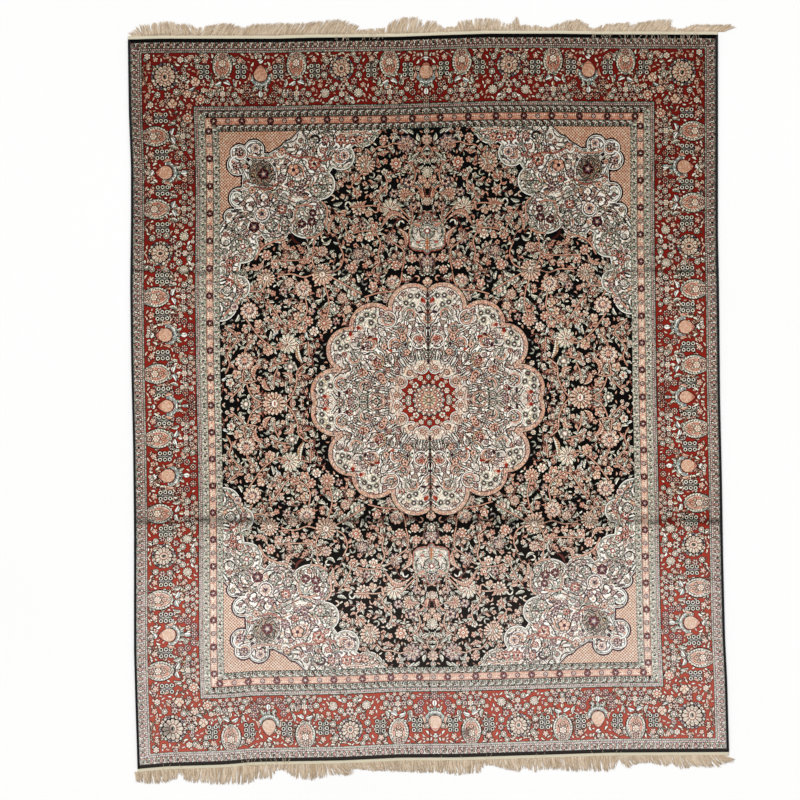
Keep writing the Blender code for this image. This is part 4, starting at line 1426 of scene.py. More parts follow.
def weave_centre(chart):
    """The red centre, bitten into by the shells round it, and its rosette."""
    middle = (MIDDLE_COLUMN, MIDDLE_ROW)
    red = away_from_middle(chart, CENTRE_RADIUS)
    shells = np.zeros_like(red)
    for bearing in BITE_BEARINGS:
        x, y = offset(*middle, BITE_DISTANCE, 0.0, -bearing)
        from_shell = np.hypot(chart.x[None, :] - x, chart.y[:, None] - y)
        red &= from_shell > BITE_RADIUS
        shells |= from_shell < BITE_RADIUS
    chart.knots[shells] = SILK["ivory"]
    weave_tracery(chart, shells, "ivory", 47, 2.6, 0.36, ("dusk", "walnut", "forest"),
                  ("rose", "ivory", "salmon", "white", "sage"))
    for bearing in BITE_BEARINGS:
        x, y = offset(*middle, BITE_DISTANCE, 0.0, -bearing)
        for inset, width, silk in ((0.3, 0.6, "walnut"), (0.9, 0.7, "white"), (1.4, 0.4, "forest")):
            draw_ring(chart, x, y, BITE_RADIUS - inset, width, silk, 105 - bearing, 150)
        draw_rosette(chart, x, y, 2.6, "petal", bearing)
    chart.knots[red] = SILK["madder"]
    draw_all(chart, CENTRE_ROSETTES)
    strew(chart, red, "madder", 2.6, 1.5, 41, border_sprig)
    draw_rosette(chart, *middle, 16.0, "centre")
    for step in range(SPOT_COUNT):
        spot = offset(*middle, SPOT_DISTANCE, 0.0, (step + 0.5) * 360 / SPOT_COUNT)
        draw_disc(chart, *spot, 2.1, "plum")
        draw_disc(chart, *spot, 1.2, "ivory" if step % 2 else "rose")
    draw_rosette(chart, *middle, 7.4, "core")


def weave_tablet(chart):
    """The ivory tablet on the middle line, above the medallion."""
    half = [squared(x, y) for x, y in TABLET_EDGE]
    path = smooth_path([(float(x), float(y)) for x, y in half])
    beyond = MIDDLE_COLUMN + 5
    tablet = inside(chart, [*path, (beyond, path[-1][1]), (beyond, path[0][1])])
    for distance, silk in ((1.8, "midnight"), (1.3, "dusk"), (0.4, "walnut")):
        chart.knots[grown(tablet, distance)] = SILK[silk]
    chart.knots[tablet] = SILK["ivory"]
    chart.knots[grown(~tablet, 1.4) & tablet] = SILK["walnut"]
    chart.knots[grown(~tablet, 0.9) & tablet] = SILK["sage"]
    middle = (MIDDLE_COLUMN, 231.0)
    for radius, width, silk in ((13.5, 1.4, "sage"), (11.5, 1.0, "forest"), (9.8, 1.0, "sage")):
        draw_ring(chart, *offset(*middle, -1.0, -4.0, 0.0), radius, width, silk, 180, 150)
    draw_rosette(chart, *middle, 7.6, "fern")
    draw_leaf(chart, MIDDLE_COLUMN, 250.5, 0, 14.0, 4.6, "honey", "stone", "brick")
    draw_leaf(chart, MIDDLE_COLUMN - 6, 226.0, 290, 9.0, 3.0, "salmon", "stone")
    draw_disc(chart, 420.5, 242.0, 1.6, "dusk", 1.3, 100)
    draw_rosette(chart, MIDDLE_COLUMN, 218.5, 3.6, "smoke")
    weave_tracery(chart, tablet, "ivory", 43, 2.8, 0.4, IVORY_LINES, IVORY_FILLS)


# Sprays run over the field's small flowers and under those of a middling or large radius
MIDDLING_FLOWER = 4.3
LARGE_FLOWER = 6.0
# Fine lines inside the field's broad forms. columns: ground, seed, silks of the lines
FIELD_TRACERY = (
    ("salmon", 91, ("walnut", "midnight", "brick")), ("rose", 92, ("dusk", "walnut")),
    ("ivory", 93, ("stone", "sage", "dusk")),
)


def weave_field(chart):
    """Everything inside the borders."""
    depth, _ = border_depth(chart)
    field = depth >= FIELD_DEPTH
    flowers = [(kind, *place) for kind, places in FIELD_ROSETTES.items() for place in places]
    draw_all(chart, [flower for flower in flowers if flower[3] < MIDDLING_FLOWER])
    weave_sprays(chart, field, SPRAY_PITCH, 39, FIELD_SPRAY)
    draw_all(chart, [flower for flower in flowers if MIDDLING_FLOWER <= flower[3] < LARGE_FLOWER])
    draw_all(chart, [flower for flower in flowers if flower[3] >= LARGE_FLOWER])
    for ground, seed, lines in FIELD_TRACERY:
        weave_tracery(chart, field, ground, seed, 3.4, 0.26, lines)
    vines = [("salmon", 1.2, points) for points in FIELD_VINES]
    draw_straps(chart, vines, "midnight", 0.95, 6.4, 2.6, 18)
    for x, y, turn, length, width, bend, silk in FIELD_LEAVES:
        rib = "walnut" if length > 12 else None
        draw_leaf(chart, *squared(x, y), turn, length, width, silk, "midnight", rib, bend)
    for kind, row, radius, turn in AXIS_ROSETTES:
        draw_rosette(chart, MIDDLE_COLUMN, row, radius, kind, turn)
    weave_tablet(chart)
    weave_spandrel(chart, field)
    weave_medallion(chart)
    for room, seed in ((3.0, 61), (2.2, 62)):
        strew(chart, field, "midnight", room * 1.6, room, seed, field_sprig)


def weave_chart():
    """The whole quarter chart."""
    chart = Chart()
    weave_stripes(chart)
    depth, _ = border_depth(chart)
    borders = chart.knots.copy()
    weave_field(chart)
    chart.knots[depth < FIELD_DEPTH] = borders[depth < FIELD_DEPTH]
    red = (depth > SPRAYS_FROM) & (depth < SPRAYS_TO)
    weave_sprays(chart, red, SPRAY_PITCH, 75, BORDER_SPRAY)
    weave_main_border(chart)
    off_red = (depth <= RED_FROM) | ((depth >= RED_TO) & (depth < FIELD_DEPTH))
    chart.knots[off_red] = borders[off_red]
    for room, seed in ((2.1, 72), (1.6, 73)):
        strew(chart, red, "madder", room * 1.3, room, seed, border_sprig)
    shade_knots(chart)
    return chart


# Materials


def add_node(tree, kind, inputs=(), **settings):
    """Adds a node, sets what it is, and links or sets its inputs. Returns the node."""
    node = tree.nodes.new(kind)
    for name, value in settings.items():
        setattr(node, name, value)
    for key, value in dict(inputs).items():
        if isinstance(value, bpy.types.NodeSocket):
            tree.links.new(value, node.inputs[key])
        else:
            node.inputs[key].default_value = value
    return node


def sum_of(tree, operation, *values, clamp=False):
    """One Math node over its values. Returns its result."""
    node = add_node(tree, "ShaderNodeMath", dict(enumerate(values)), operation=operation, use_clamp=clamp)
    return node.outputs[0]


def product_of(tree, first, second):
    """Two values multiplied."""
    return sum_of(tree, "MULTIPLY", first, second)


def scaled(tree, colour, tone):
    """A colour made lighter or darker. Returns the colour."""
    return add_node(tree, "ShaderNodeVectorMath", {0: colour, 3: tone}, operation="SCALE").outputs[0]


def mixed(tree, share, first, second):
    """Two colours mixed by a share. Returns the colour."""
    node = add_node(tree, "ShaderNodeMix", {0: share, 6: first, 7: second}, data_type="RGBA")
    return node.outputs[2]


def place_of(tree):
    """The shaded place in the piece's own metres, whole and as its X, Y and Z."""
    place = add_node(tree, "ShaderNodeTexCoord").outputs["Object"]
    return place, add_node(tree, "ShaderNodeSeparateXYZ", {0: place}).outputs


def finish_with(tree, shader, colour, strength, distance, height):
    """Gives a shader its colour and the bumps of a height."""
    tree.links.new(colour, shader.inputs["Base Color"])
    bump = add_node(tree, "ShaderNodeBump", {"Strength": strength, "Distance": distance, "Height": height})
    tree.links.new(bump.outputs[0], shader.inputs["Normal"])


def eased(tree, value, low, high, start=0.0, stop=1.0):
    """A value mapped smoothly from one range to another."""
    inputs = {0: value, 1: low, 2: high, 3: start, 4: stop}
    node = add_node(tree, "ShaderNodeMapRange", inputs, interpolation_type="SMOOTHSTEP")
    return node.outputs[0]


def cloth_noise(tree, scale, detail=3.0, stretch=(1.0, 1.0, 1.0)):
    """Noise in the piece's own metres. Scale is how many waves there are in a metre."""
    place = add_node(tree, "ShaderNodeTexCoord")
    fitted = add_node(tree, "ShaderNodeMapping", {0: place.outputs["Object"], 3: stretch})
    inputs = {"Vector": fitted.outputs[0], "Scale": scale, "Detail": detail}
    return add_node(tree, "ShaderNodeTexNoise", inputs).outputs[0]


def new_finish(name, roughness, sheen=0.0):
    """A material with an empty tree but for its shader. Returns it with tree and shader."""
    finish = bpy.data.materials.new(name)
    finish.use_nodes = True
    tree = finish.node_tree
    shader = tree.nodes["Principled BSDF"]
    shader.inputs["Roughness"].default_value = roughness
    shader.inputs["Metallic"].default_value = 0.0
    shader.inputs["Sheen Weight"].default_value = sheen
    shader.inputs["Sheen Roughness"].default_value = 0.45
    return finish, tree, shader


# The face attributes that hold each block's knots, three rows of six knots in each
KNOT_SETS = ("knots_a", "knots_b")

# Painted sheen and shade down the rug, standing in for how light catches the leaning pile.
# columns: place down the rug from 0 at the top to 1, power on the dye's own value, gain
PAINTED_SHEEN_DOWN_RUG = (
    (0, 1.26, 0.76), (0.15, 1.22, 0.78), (0.29, 1.12, 0.87), (0.335, 1.04, 0.99), (0.48, 1, 1.03),
    (0.62, 0.95, 1.07), (0.66, 0.94, 1.03), (0.7, 0.8, 1.05), (0.77, 0.67, 1.07), (1, 0.58, 1.06),
)

# Soft darker patches near the lower edge: X, Y, radius, how much darker
DARK_PATCHES = ((-1.104, -1.392, 0.04, 0.6), (0.157, -1.404, 0.034, 0.7), (-1.02, -1.3, 0.02, 0.3))


def fill_ramp(ramp, stops):
    """Gives a colour ramp its stops, each a position and a colour."""
    while len(ramp.elements) > 1:
        ramp.elements.remove(ramp.elements[-1])
    for number, (position, colour) in enumerate(stops):
        stop = ramp.elements[0] if number == 0 else ramp.elements.new(position)
        stop.position = position
        stop.color = (*colour, 1.0)


# Knots in a metre of the pile, for what changes from knot to knot
KNOTS_PER_METRE = 660.0


def knot_dye(tree, settings, across, down):
    """The dye of each knot, unpacked from its block's six numbers of six knots each."""
    count = float(len(SILKS))
    column = sum_of(tree, "FLOOR", across)
    row = sum_of(tree, "FLOOR", down)
    lower = sum_of(tree, "GREATER_THAN", row, 2.5)
    line = sum_of(tree, "SUBTRACT", row, product_of(tree, lower, 3.0))
    upper_rows, lower_rows = [
        add_node(tree, "ShaderNodeAttribute", attribute_name=name).outputs["Vector"] for name in KNOT_SETS]
    rows = add_node(tree, "ShaderNodeMix", {0: lower, 4: upper_rows, 5: lower_rows}, data_type="VECTOR")
    three = add_node(tree, "ShaderNodeSeparateXYZ", {0: rows.outputs[1]})
    packed = 0.0
    for number in range(3):
        here = sum_of(tree, "COMPARE", line, float(number), 0.25)
        packed = sum_of(tree, "ADD", product_of(tree, three.outputs[number], here), packed)
    shifted = sum_of(tree, "DIVIDE", packed, sum_of(tree, "POWER", count, column))
    silk = sum_of(tree, "FLOORED_MODULO", sum_of(tree, "FLOOR", shifted), count)
    share = sum_of(tree, "DIVIDE", sum_of(tree, "ADD", silk, 0.5), count)
    dye = add_node(tree, "ShaderNodeValToRGB", {0: share})
    dyes = [(number / count, getattr(settings, name)) for number, (name, _) in enumerate(SILKS)]
    fill_ramp(dye.color_ramp, dyes)
    dye.color_ramp.interpolation = "CONSTANT"
    return dye.outputs[0]


def dye_lots_and_painted_sheen(tree, colour, place, up):
    """How the colour changes over the rug: dye lots along it, painted sheen and shade down it, and
    from knot to knot. The painted shade stands for a pile leaning towards the top, deep from there
    down to the folds, and the painted sheen makes it paler beyond each fold. Returns the colour and its
    tone."""
    lots = cloth_noise(tree, 1.0, 2.0, (0.5, 7.0, 1.0))
    tone = eased(tree, lots, 0.3, 0.7, 0.95, 1.05)
    down_rug = sum_of(tree, "SUBTRACT", 0.5, sum_of(tree, "DIVIDE", up, RUG_LENGTH))
    # Painted sheen and shade: a power on the dye and a gain, by place down the rug
    painted_sheen_ramp = add_node(tree, "ShaderNodeValToRGB", {0: down_rug})
    fill_ramp(painted_sheen_ramp.color_ramp, [(down, (power / 2, gain / 2, 0.0)) for down, power, gain in PAINTED_SHEEN_DOWN_RUG])
    lift = add_node(tree, "ShaderNodeSeparateXYZ", {0: painted_sheen_ramp.outputs[0]})
    power = product_of(tree, lift.outputs[0], 2.0)
    colour = add_node(tree, "ShaderNodeGamma", {0: colour, 1: power}).outputs[0]
    tone = product_of(tree, tone, product_of(tree, lift.outputs[1], 2.0))
    size = (KNOTS_PER_METRE, KNOTS_PER_METRE, 0.0)
    knot = add_node(tree, "ShaderNodeVectorMath", {0: place, 1: size}, operation="MULTIPLY").outputs[0]
    whole = add_node(tree, "ShaderNodeVectorMath", {0: knot}, operation="FLOOR").outputs[0]
    chance = add_node(tree, "ShaderNodeTexWhiteNoise", {0: whole}, noise_dimensions="2D").outputs[0]
    return colour, product_of(tree, tone, eased(tree, chance, 0.0, 1.0, 0.9, 1.1))


def painted_fold_shade_and_dark_patches(tree, tone, place, across_rug, up, settings):
    """Painted shade along the old folds, dark and uneven, and soft darker patches near the lower edge."""
    patchy = cloth_noise(tree, 11.0, 3.0)
    wobble = product_of(tree, sum_of(tree, "SUBTRACT", cloth_noise(tree, 3.0, 1.0), 0.5), 0.03)
    folds = (
        (up, wobble, settings.upper_fold, 0.014, 0.5), (up, wobble, settings.lower_fold, 0.026, 0.6),
        (across_rug, 0.0, settings.long_fold, 0.006, 0.4),
    )
    # Painted shade: each fold darkens the pile in an uneven band
    for value, shift, fold, reach, depth in folds:
        beside = sum_of(tree, "SUBTRACT", sum_of(tree, "ADD", value, shift), fold)
        near = eased(tree, sum_of(tree, "ABSOLUTE", beside), reach, 0.0)
        strength = product_of(tree, near, eased(tree, patchy, 0.3, 0.7, 0.35, depth * 1.2))
        tone = product_of(tree, tone, sum_of(tree, "SUBTRACT", 1.0, strength))
    for x, y, reach, depth in DARK_PATCHES:
        spot = add_node(tree, "ShaderNodeVectorMath", {0: place, 1: (x, y, 0.0)}, operation="DISTANCE")
        away = sum_of(tree, "ADD", spot.outputs[1], product_of(tree, patchy, reach))
        near = eased(tree, away, reach * 1.5, reach * 0.7)
        tone = product_of(tree, tone, sum_of(tree, "SUBTRACT", 1.0, product_of(tree, near, depth)))
    return tone


def knotted_silk(settings):
    """Cut silk knots in sixteen dyes: crisp small squares, a satin gloss, soft dye bands, painted sheen and
    shade down the rug, and painted shade along the folds and in the gaps between knots.
    """
    finish, tree, shader = new_finish("knotted_silk", 0.56, settings.pile_sheen)
    shader.inputs["Specular IOR Level"].default_value = 0.04
    local = add_node(tree, "ShaderNodeUVMap", uv_map="Knot")
    apart = add_node(tree, "ShaderNodeSeparateXYZ", {0: local.outputs[0]})
    across, down = [
        product_of(tree, sum_of(tree, "MINIMUM", apart.outputs[number], 0.9999), float(BLOCK))
        for number in (0, 1)]
    place, (across_rug, up, _) = place_of(tree)
    colour, tone = dye_lots_and_painted_sheen(tree, knot_dye(tree, settings, across, down), place, up)
    tone = painted_fold_shade_and_dark_patches(tree, tone, place, across_rug, up, settings)
    # Each knot is a small round tuft, with painted shade in the gaps between tufts; its height also makes
    # the bump
    wave_across, wave_down = [
        sum_of(tree, "ABSOLUTE", sum_of(tree, "SINE", product_of(tree, value, math.pi)))
        for value in (across, down)]
    tuft = sum_of(tree, "POWER", product_of(tree, wave_across, wave_down), 0.4)
    tone = product_of(tree, tone, eased(tree, tuft, 0.0, 1.0, 0.8, 1.06))
    finish_with(tree, shader, scaled(tree, colour, tone), 0.35, 0.0004, tuft)
    return finish


def overcast_silk(settings):
    """Near-black silk wrapped over the edge cords, with a soft shine on each turn."""
    finish, tree, shader = new_finish("overcast_silk", 0.6)
    shader.inputs["Specular IOR Level"].default_value = 0.15
    fine = cloth_noise(tree, 900.0, 2.0, (1.0, 0.35, 1.0))
    colour = mixed(tree, fine, (*settings.binding, 1.0), (*settings.binding_light, 1.0))
    finish_with(tree, shader, colour, 0.5, 0.0003, fine)
    return finish


def rows_of(tree, value, pitch):
    """Even waves over a value."""
    return sum_of(tree, "SINE", product_of(tree, value, 2 * math.pi / pitch))


def woven_cotton(settings):
    """The flat woven end band: fine light rows, with a darker row of stitches along its rim."""
    finish, tree, shader = new_finish("woven_cotton", 0.85, 0.1)
    depth = add_node(tree, "ShaderNodeAttribute", attribute_name="depth").outputs["Fac"]
    _, (along, _, _) = place_of(tree)
    weave = product_of(tree, rows_of(tree, depth, 1 / 11), rows_of(tree, along, 0.0022))
    ground = scaled(tree, settings.band[:], eased(tree, weave, -1.0, 1.0, 0.86, 1.06))
    rim = eased(tree, depth, 0.76, 0.84)
    stitch = product_of(tree, rim, eased(tree, rows_of(tree, along, 0.009), -0.5, 0.5, 0.35, 1.0))
    colour = mixed(tree, product_of(tree, stitch, 0.75), ground, (*settings.fringe_shade, 1.0))
    stain = eased(tree, cloth_noise(tree, 9.0), 0.45, 0.75, 0.0, 0.35)
    finish_with(tree, shader, mixed(tree, stain, colour, (*settings.fringe, 1.0)), 0.6, 0.0004, weave)
    return finish


def warp_cotton(settings):
    """Loose cotton ends: matt, cream, each thread its own, some dustier than others."""
    finish, tree, shader = new_finish("warp_cotton", 0.9, 0.15)
    chance = add_node(tree, "ShaderNodeAttribute", attribute_name="thread").outputs["Fac"]
    blotch = product_of(tree, cloth_noise(tree, 14.0), 0.5)
    share = eased(tree, sum_of(tree, "ADD", product_of(tree, chance, 0.6), blotch), 0.2, 0.9)
    colour = mixed(tree, share, (*settings.fringe_shade, 1.0), (*settings.fringe, 1.0))
    finish_with(tree, shader, colour, 0.5, 0.0003, cloth_noise(tree, 1400.0, 1.0, (1.0, 0.3, 1.0)))
    return finish


def studio_floor():
    """A plain pale floor."""
    finish, tree, shader = new_finish("pale_floor", 0.9)
    colour = mixed(tree, cloth_noise(tree, 0.7, 2.0), linear("#f7f7f6"), linear("#fbfbfb"))
    tree.links.new(colour, shader.inputs["Base Color"])
    return finish


# Meshes


def mesh_from_arrays(name, points, corners, sizes, finish):
    """One object from arrays of points, corner numbers and corners per face."""
    mesh = bpy.data.meshes.new(name)
    mesh.vertices.add(len(points))
    mesh.vertices.foreach_set("co", np.asarray(points, np.float32).ravel())
    mesh.loops.add(len(corners))
    mesh.loops.foreach_set("vertex_index", np.asarray(corners, np.int32))
    starts = np.concatenate([[0], np.cumsum(sizes)[:-1]]).astype(np.int32)
    mesh.polygons.add(len(sizes))
    mesh.polygons.foreach_set("loop_start", starts)
    mesh.update(calc_edges=True)
    mesh.validate()
    mesh.materials.append(finish)
    piece = bpy.data.objects.new(name, mesh)
    bpy.context.scene.collection.objects.link(piece)
    return piece


def fold_depth(x, y, settings):
    """How far the pile dips where the rug was once folded."""
    dip = np.exp(-(((x - settings.long_fold) / 0.010) ** 2)) * 0.9
    upper = settings.upper_fold + 0.012 * x + 0.004 * np.sin(x * 5.0)
    lower = settings.lower_fold - 0.010 * x + 0.005 * np.sin(x * 4.0 + 1.0)
    dip += np.exp(-(((y - upper) / 0.012) ** 2)) * 0.8
    dip += np.exp(-(((y - lower) / 0.014) ** 2)) * 1.0
    ripple = 0.22 * np.sin(x * 9.0 + 2.0 * np.sin(y * 2.0)) * np.sin(y * 7.0)
    return (np.clip(dip, 0.0, 1.2) + 0.22 + ripple) * settings.fold_dip


def add_values(mesh, name, values):
    """Gives each point of a mesh its own value."""
    layer = mesh.attributes.new(name, "FLOAT", "POINT")
    layer.data.foreach_set("value", values.astype(np.float32))


def full_chart():
    """The whole rug's knots, from the quarter and its three mirrors."""
    quarter = weave_chart().knots
    half = np.concatenate([quarter, quarter[:, ::-1]], axis=1)
    return np.concatenate([half, half[::-1]], axis=0)


def pack_knots(knots):
    """Each block's knots as six numbers, one for a row of six knots, in two sets of three."""
    rows, columns = 2 * BLOCK_ROWS, 2 * BLOCK_COLUMNS
    blocks = knots.reshape(rows, BLOCK, columns, BLOCK).astype(np.float64)
    weights = float(len(SILKS)) ** np.arange(BLOCK)
    packed = np.einsum("rkcj,j->rkc", blocks, weights)
    return packed[:, :3].transpose(0, 2, 1).reshape(-1, 3), packed[:, 3:].transpose(0, 2, 1).reshape(-1, 3)


def pile_grid(settings):
    """The places of the pile's corners, row by row from the top left."""
    across = np.linspace(-1.0, 1.0, 2 * BLOCK_COLUMNS + 1)[None, :]
    along = np.linspace(1.0, -1.0, 2 * BLOCK_ROWS + 1)[:, None]
    x, y = cloth_place(across, along, SELVEDGE_WIDTH + PIECE_GAP)
    z = settings.pile_height - fold_depth(x, y, settings)
    return np.stack([x, y, z], axis=-1)


def rim_numbers(rows, columns):
    """The numbers of the grid's rim corners, clockwise as seen from above."""
    top = np.arange(columns)
    right = np.arange(1, rows) * columns + columns - 1
    bottom = (rows - 1) * columns + np.arange(columns - 2, -1, -1)
    left = np.arange(rows - 2, 0, -1) * columns
    return np.concatenate([top, right, bottom, left])


def build_pile(settings):
    """The knotted pile as one closed sheet on the pile's own outline."""
    grid = pile_grid(settings)
    rows, columns = grid.shape[:2]
    number = np.arange(rows * columns).reshape(rows, columns)
    left, right = number[:, :-1], number[:, 1:]
    quads = np.stack([left[:-1], left[1:], right[1:], right[:-1]], axis=-1).reshape(-1, 4)
    rim = rim_numbers(rows, columns)
    over = grid.reshape(-1, 3)
    under = over[rim].copy()
    under[:, 2] = 0.0
    first = len(over)
    below = first + np.arange(len(rim))
    walls = np.stack([rim, np.roll(rim, -1), np.roll(below, -1), below], axis=-1)
    base = [below[:columns + 1].tolist() + [below[-1]]]
    for step in range(1, rows - 2):
        far = columns - 1 + step
        base.append([below[-step], below[far], below[far + 1], below[-step - 1]])
    last = columns - 1 + rows - 2
    base.append(below[last:last + columns + 2].tolist())
    corners = np.concatenate([quads.ravel(), walls.ravel(), *[np.array(face) for face in base]])
    sizes = [4] * (len(quads) + len(walls)) + [len(face) for face in base]
    points = np.concatenate([over, under])
    piece = mesh_from_arrays("silk_pile", points, corners, sizes, knotted_silk(settings))
    mark_knots(piece.data, len(quads))
    outline = over[rim]
    following = np.roll(outline, -1, axis=0)
    area = abs(np.sum(outline[:, 0] * following[:, 1] - following[:, 0] * outline[:, 1])) / 2
    return piece, float(area), over.max(axis=0) - over.min(axis=0)


def mark_knots(mesh, blocks):
    """Gives each block its knots, its own square map, and a flat map for the bake."""
    sets = pack_knots(full_chart())
    spare = len(mesh.polygons) - blocks
    for name, values in zip(KNOT_SETS, sets):
        layer = mesh.attributes.new(name, "FLOAT_VECTOR", "FACE")
        padded = np.concatenate([values, np.zeros((spare, 3))]).astype(np.float32)
        layer.data.foreach_set("vector", padded.ravel())
    corners = len(mesh.loops)
    square = np.full((corners, 2), 0.5, np.float32)
    square[:blocks * 4] = np.tile([[0, 0], [0, 1], [1, 1], [1, 0]], (blocks, 1))
    mesh.uv_layers.new(name="Knot").data.foreach_set("uv", square.ravel())
    numbers = np.empty(corners, np.int32)
    mesh.loops.foreach_get("vertex_index", numbers)
    places = np.empty(len(mesh.vertices) * 3, np.float32)
    mesh.vertices.foreach_get("co", places)
    flat = places.reshape(-1, 3)[numbers, :2]
    low, high = flat.min(axis=0), flat.max(axis=0)
    flat = (flat - low) / (high - low) * 0.98 + 0.01
    flat[blocks * 4:] *= 0.005
    mesh.uv_layers.new(name="OFBake").data.foreach_set("uv", flat.astype(np.float32).ravel())


# The overcast cords: sides of their section, how deep the grooves are and how far each turn
# slants, and the X at which a cord meets the rug's ends
CORD_SIDES = 10
CORD_GROOVE = 0.09
TURN_SLANT = 0.0012
CORD_X = 1.24
# How square the section is. 1 is an oval
CORD_POWER = 0.7


def build_selvedge(name, side, settings):
    """The overcasting down one side, a flattened cord with a ridge for each turn of silk."""
    turns = int(RUG_LENGTH / settings.turn_pitch)
    steps = 2 * turns
    along = np.linspace(-1.0, 1.0, steps + 1)
    angles = np.linspace(0.0, 2 * math.pi, CORD_SIDES, endpoint=False)
    half_width, half_height = SELVEDGE_WIDTH / 2, settings.pile_height / 2
    slant = np.cos(angles)[None, :] * TURN_SLANT * side
    edge = side_place(side, along)[:, None] + SHIFT_X
    top, bottom = end_place(1, side * CORD_X), end_place(-1, side * CORD_X)
    level = np.where(along > 0, top, -bottom) * along
    ridge = 1.0 - CORD_GROOVE * (np.arange(steps + 1) % 2)[:, None]
    wide = np.sign(np.cos(angles)) * np.abs(np.cos(angles)) ** CORD_POWER
    tall = np.sign(np.sin(angles)) * np.abs(np.sin(angles)) ** CORD_POWER
    x = edge - side * half_width + side * half_width * wide[None, :] * ridge
    y = np.broadcast_to(level[:, None] + slant * 0.5, x.shape) + SHIFT_Y
    z = half_height + half_height * tall[None, :] * ridge
    points = np.stack([x, y, z], axis=-1).reshape(-1, 3)
    count = len(angles)
    number = np.arange((steps + 1) * count).reshape(steps + 1, count)
    turned_on = np.roll(number, -1, axis=1)
    quads = np.stack([number[:-1], number[1:], turned_on[1:], turned_on[:-1]], axis=-1).reshape(-1, 4)
    if side > 0:
        quads = quads[:, ::-1]
    ends = [number[0].tolist(), number[-1][::-1].tolist()]
    if side > 0:
        ends = [face[::-1] for face in ends]
    corners = np.concatenate([quads.ravel(), *[np.array(face) for face in ends]])
    sizes = [4] * len(quads) + [count, count]
    piece = mesh_from_arrays(name, points, corners, sizes, overcast_silk(settings))
    piece.data.polygons.foreach_set("use_smooth", [True] * len(sizes))
    return piece


# Steps along an end band, and rows across it
BAND_STEPS = 500
BAND_ROWS = 6
# Rings along each thread of a fringe, half the width of a loose thread, and the longest and
# shortest reach of a fringe's threads beyond the band
THREAD_RINGS = 6
LOOSE_HALF_WIDTH = 0.00045
SHORTEST_END = 0.004
LONGEST_END = 0.078


def build_band(name, end, settings):
    """The flat woven strip at one end of the pile."""
    count = BAND_STEPS
    along = np.linspace(-1.0, 1.0, count + 1)
    half = np.where(along < 0, -side_place(-1, end), side_place(1, end))
    x = along * half
    edge = end_place(end, x)
    thick = settings.band_height
    wobble = 0.0005 * np.sin(x * 60.0) + 0.0004 * np.sin(x * 143.0)
    shares = np.linspace(0.0, 1.0, BAND_ROWS)
    reach = PIECE_GAP + (BAND_DEPTH - PIECE_GAP) * shares[:, None] + wobble[None, :] * shares[:, None]
    y = edge[None, :] + end * reach
    crown = 1.0 - 0.25 * shares[:, None] ** 4
    over = np.stack([np.broadcast_to(x, y.shape) + SHIFT_X, y + SHIFT_Y, thick * crown + 0 * y], axis=-1)
    under = over[::-1].copy()
    under[..., 2] = 0.0
    ring = np.concatenate([over, under], axis=0)
    rows = len(ring)
    points = ring.transpose(1, 0, 2).reshape(-1, 3)
    number = np.arange(len(points)).reshape(count + 1, rows)
    following = np.roll(number, -1, axis=1)
    quads = np.stack([number[:-1], following[:-1], following[1:], number[1:]], axis=-1).reshape(-1, 4)
    caps = [number[0][::-1].tolist(), number[-1].tolist()]
    if end > 0:
        quads = quads[:, ::-1]
        caps = [face[::-1] for face in caps]
    corners = np.concatenate([quads.ravel(), *[np.array(face) for face in caps]])
    piece = mesh_from_arrays(name, points, corners, [4] * len(quads) + [rows, rows], woven_cotton(settings))
    add_values(piece.data, "depth", np.tile(np.concatenate([shares, shares[::-1]]), count + 1))
    return piece


# How the locks of each fringe lie, as in the part's source.
# columns: root, reach beyond the band, drift to the right, all in millimetres
TOP_LOCKS = (
    (-1244, 10, -25), (-1214, 45, -12), (-1159, 50, -10), (-1100, 63, -10), (-1049, 47, -18),
    (-1007, 50, -14), (-988, 33, 4), (-935, 48, 36), (-880, 52, 38), (-829, 38, 25), (-795, 31, 18),
    (-778, 47, 30), (-736, 51, 30), (-525, 52, 34), (-448, 63, 34), (-389, 56, 34), (-334, 38, 36),
    (-313, 14, 12), (-237, 23, 0), (-195, 25, 4), (-173, 55, 17), (-123, 69, 21), (-59, 68, 12),
    (-42, 23, 8), (-25, 51, 21), (0, 46, 30), (42, 20, 12), (102, 19, 6), (140, 47, -4), (228, 52, 0),
    (288, 51, 6), (321, 25, 0), (351, 34, 2), (364, 57, 1), (385, 27, 2), (448, 22, 6), (495, 8, 2),
    (516, 22, 4), (558, 38, 17), (601, 49, 21), (647, 30, 22), (694, 6, 2), (715, 25, 12), (761, 34, 25),
    (812, 39, 30), (829, 20, 12), (863, 37, 30), (914, 48, 34), (977, 51, 34), (1007, 18, 14),
    (1066, 11, 8), (1091, 27, 22), (1167, 30, 34), (1227, 27, 42), (1250, 16, 38),
)
BOTTOM_LOCKS = (
    (-1245, 42, 13), (-1207, 51, 8), (-1114, 55, 6), (-1076, 42, 4), (-1059, 12, 0), (-1042, 42, 4),
    (-1016, 57, 0), (-915, 67, 0), (-767, 76, -4), (-725, 60, 2), (-678, 58, 2), (-661, 30, 0),
    (-627, 18, 2), (-593, 40, 0), (-564, 60, 0), (-496, 67, 4), (-445, 57, 8), (-420, 41, 16),
    (-399, 52, 32), (-369, 47, 46), (-344, 23, 20), (-302, 27, 18), (-247, 38, 24), (-141, 44, 17),
    (-56, 52, 16), (-14, 48, 8), (121, 61, 4), (206, 54, 4), (227, 21, 2), (261, 27, 10), (312, 45, 17),
    (363, 53, 12), (401, 40, 4), (439, 57, 4), (489, 46, 8), (578, 58, 8), (747, 64, 8), (781, 51, 4),
    (794, 28, 4), (819, 52, 20), (857, 32, 16), (925, 32, 16), (976, 43, 20), (1010, 34, 14),
    (1052, 59, 18), (1094, 48, 22), (1179, 52, 40), (1230, 26, 44), (1250, 14, 40),
)


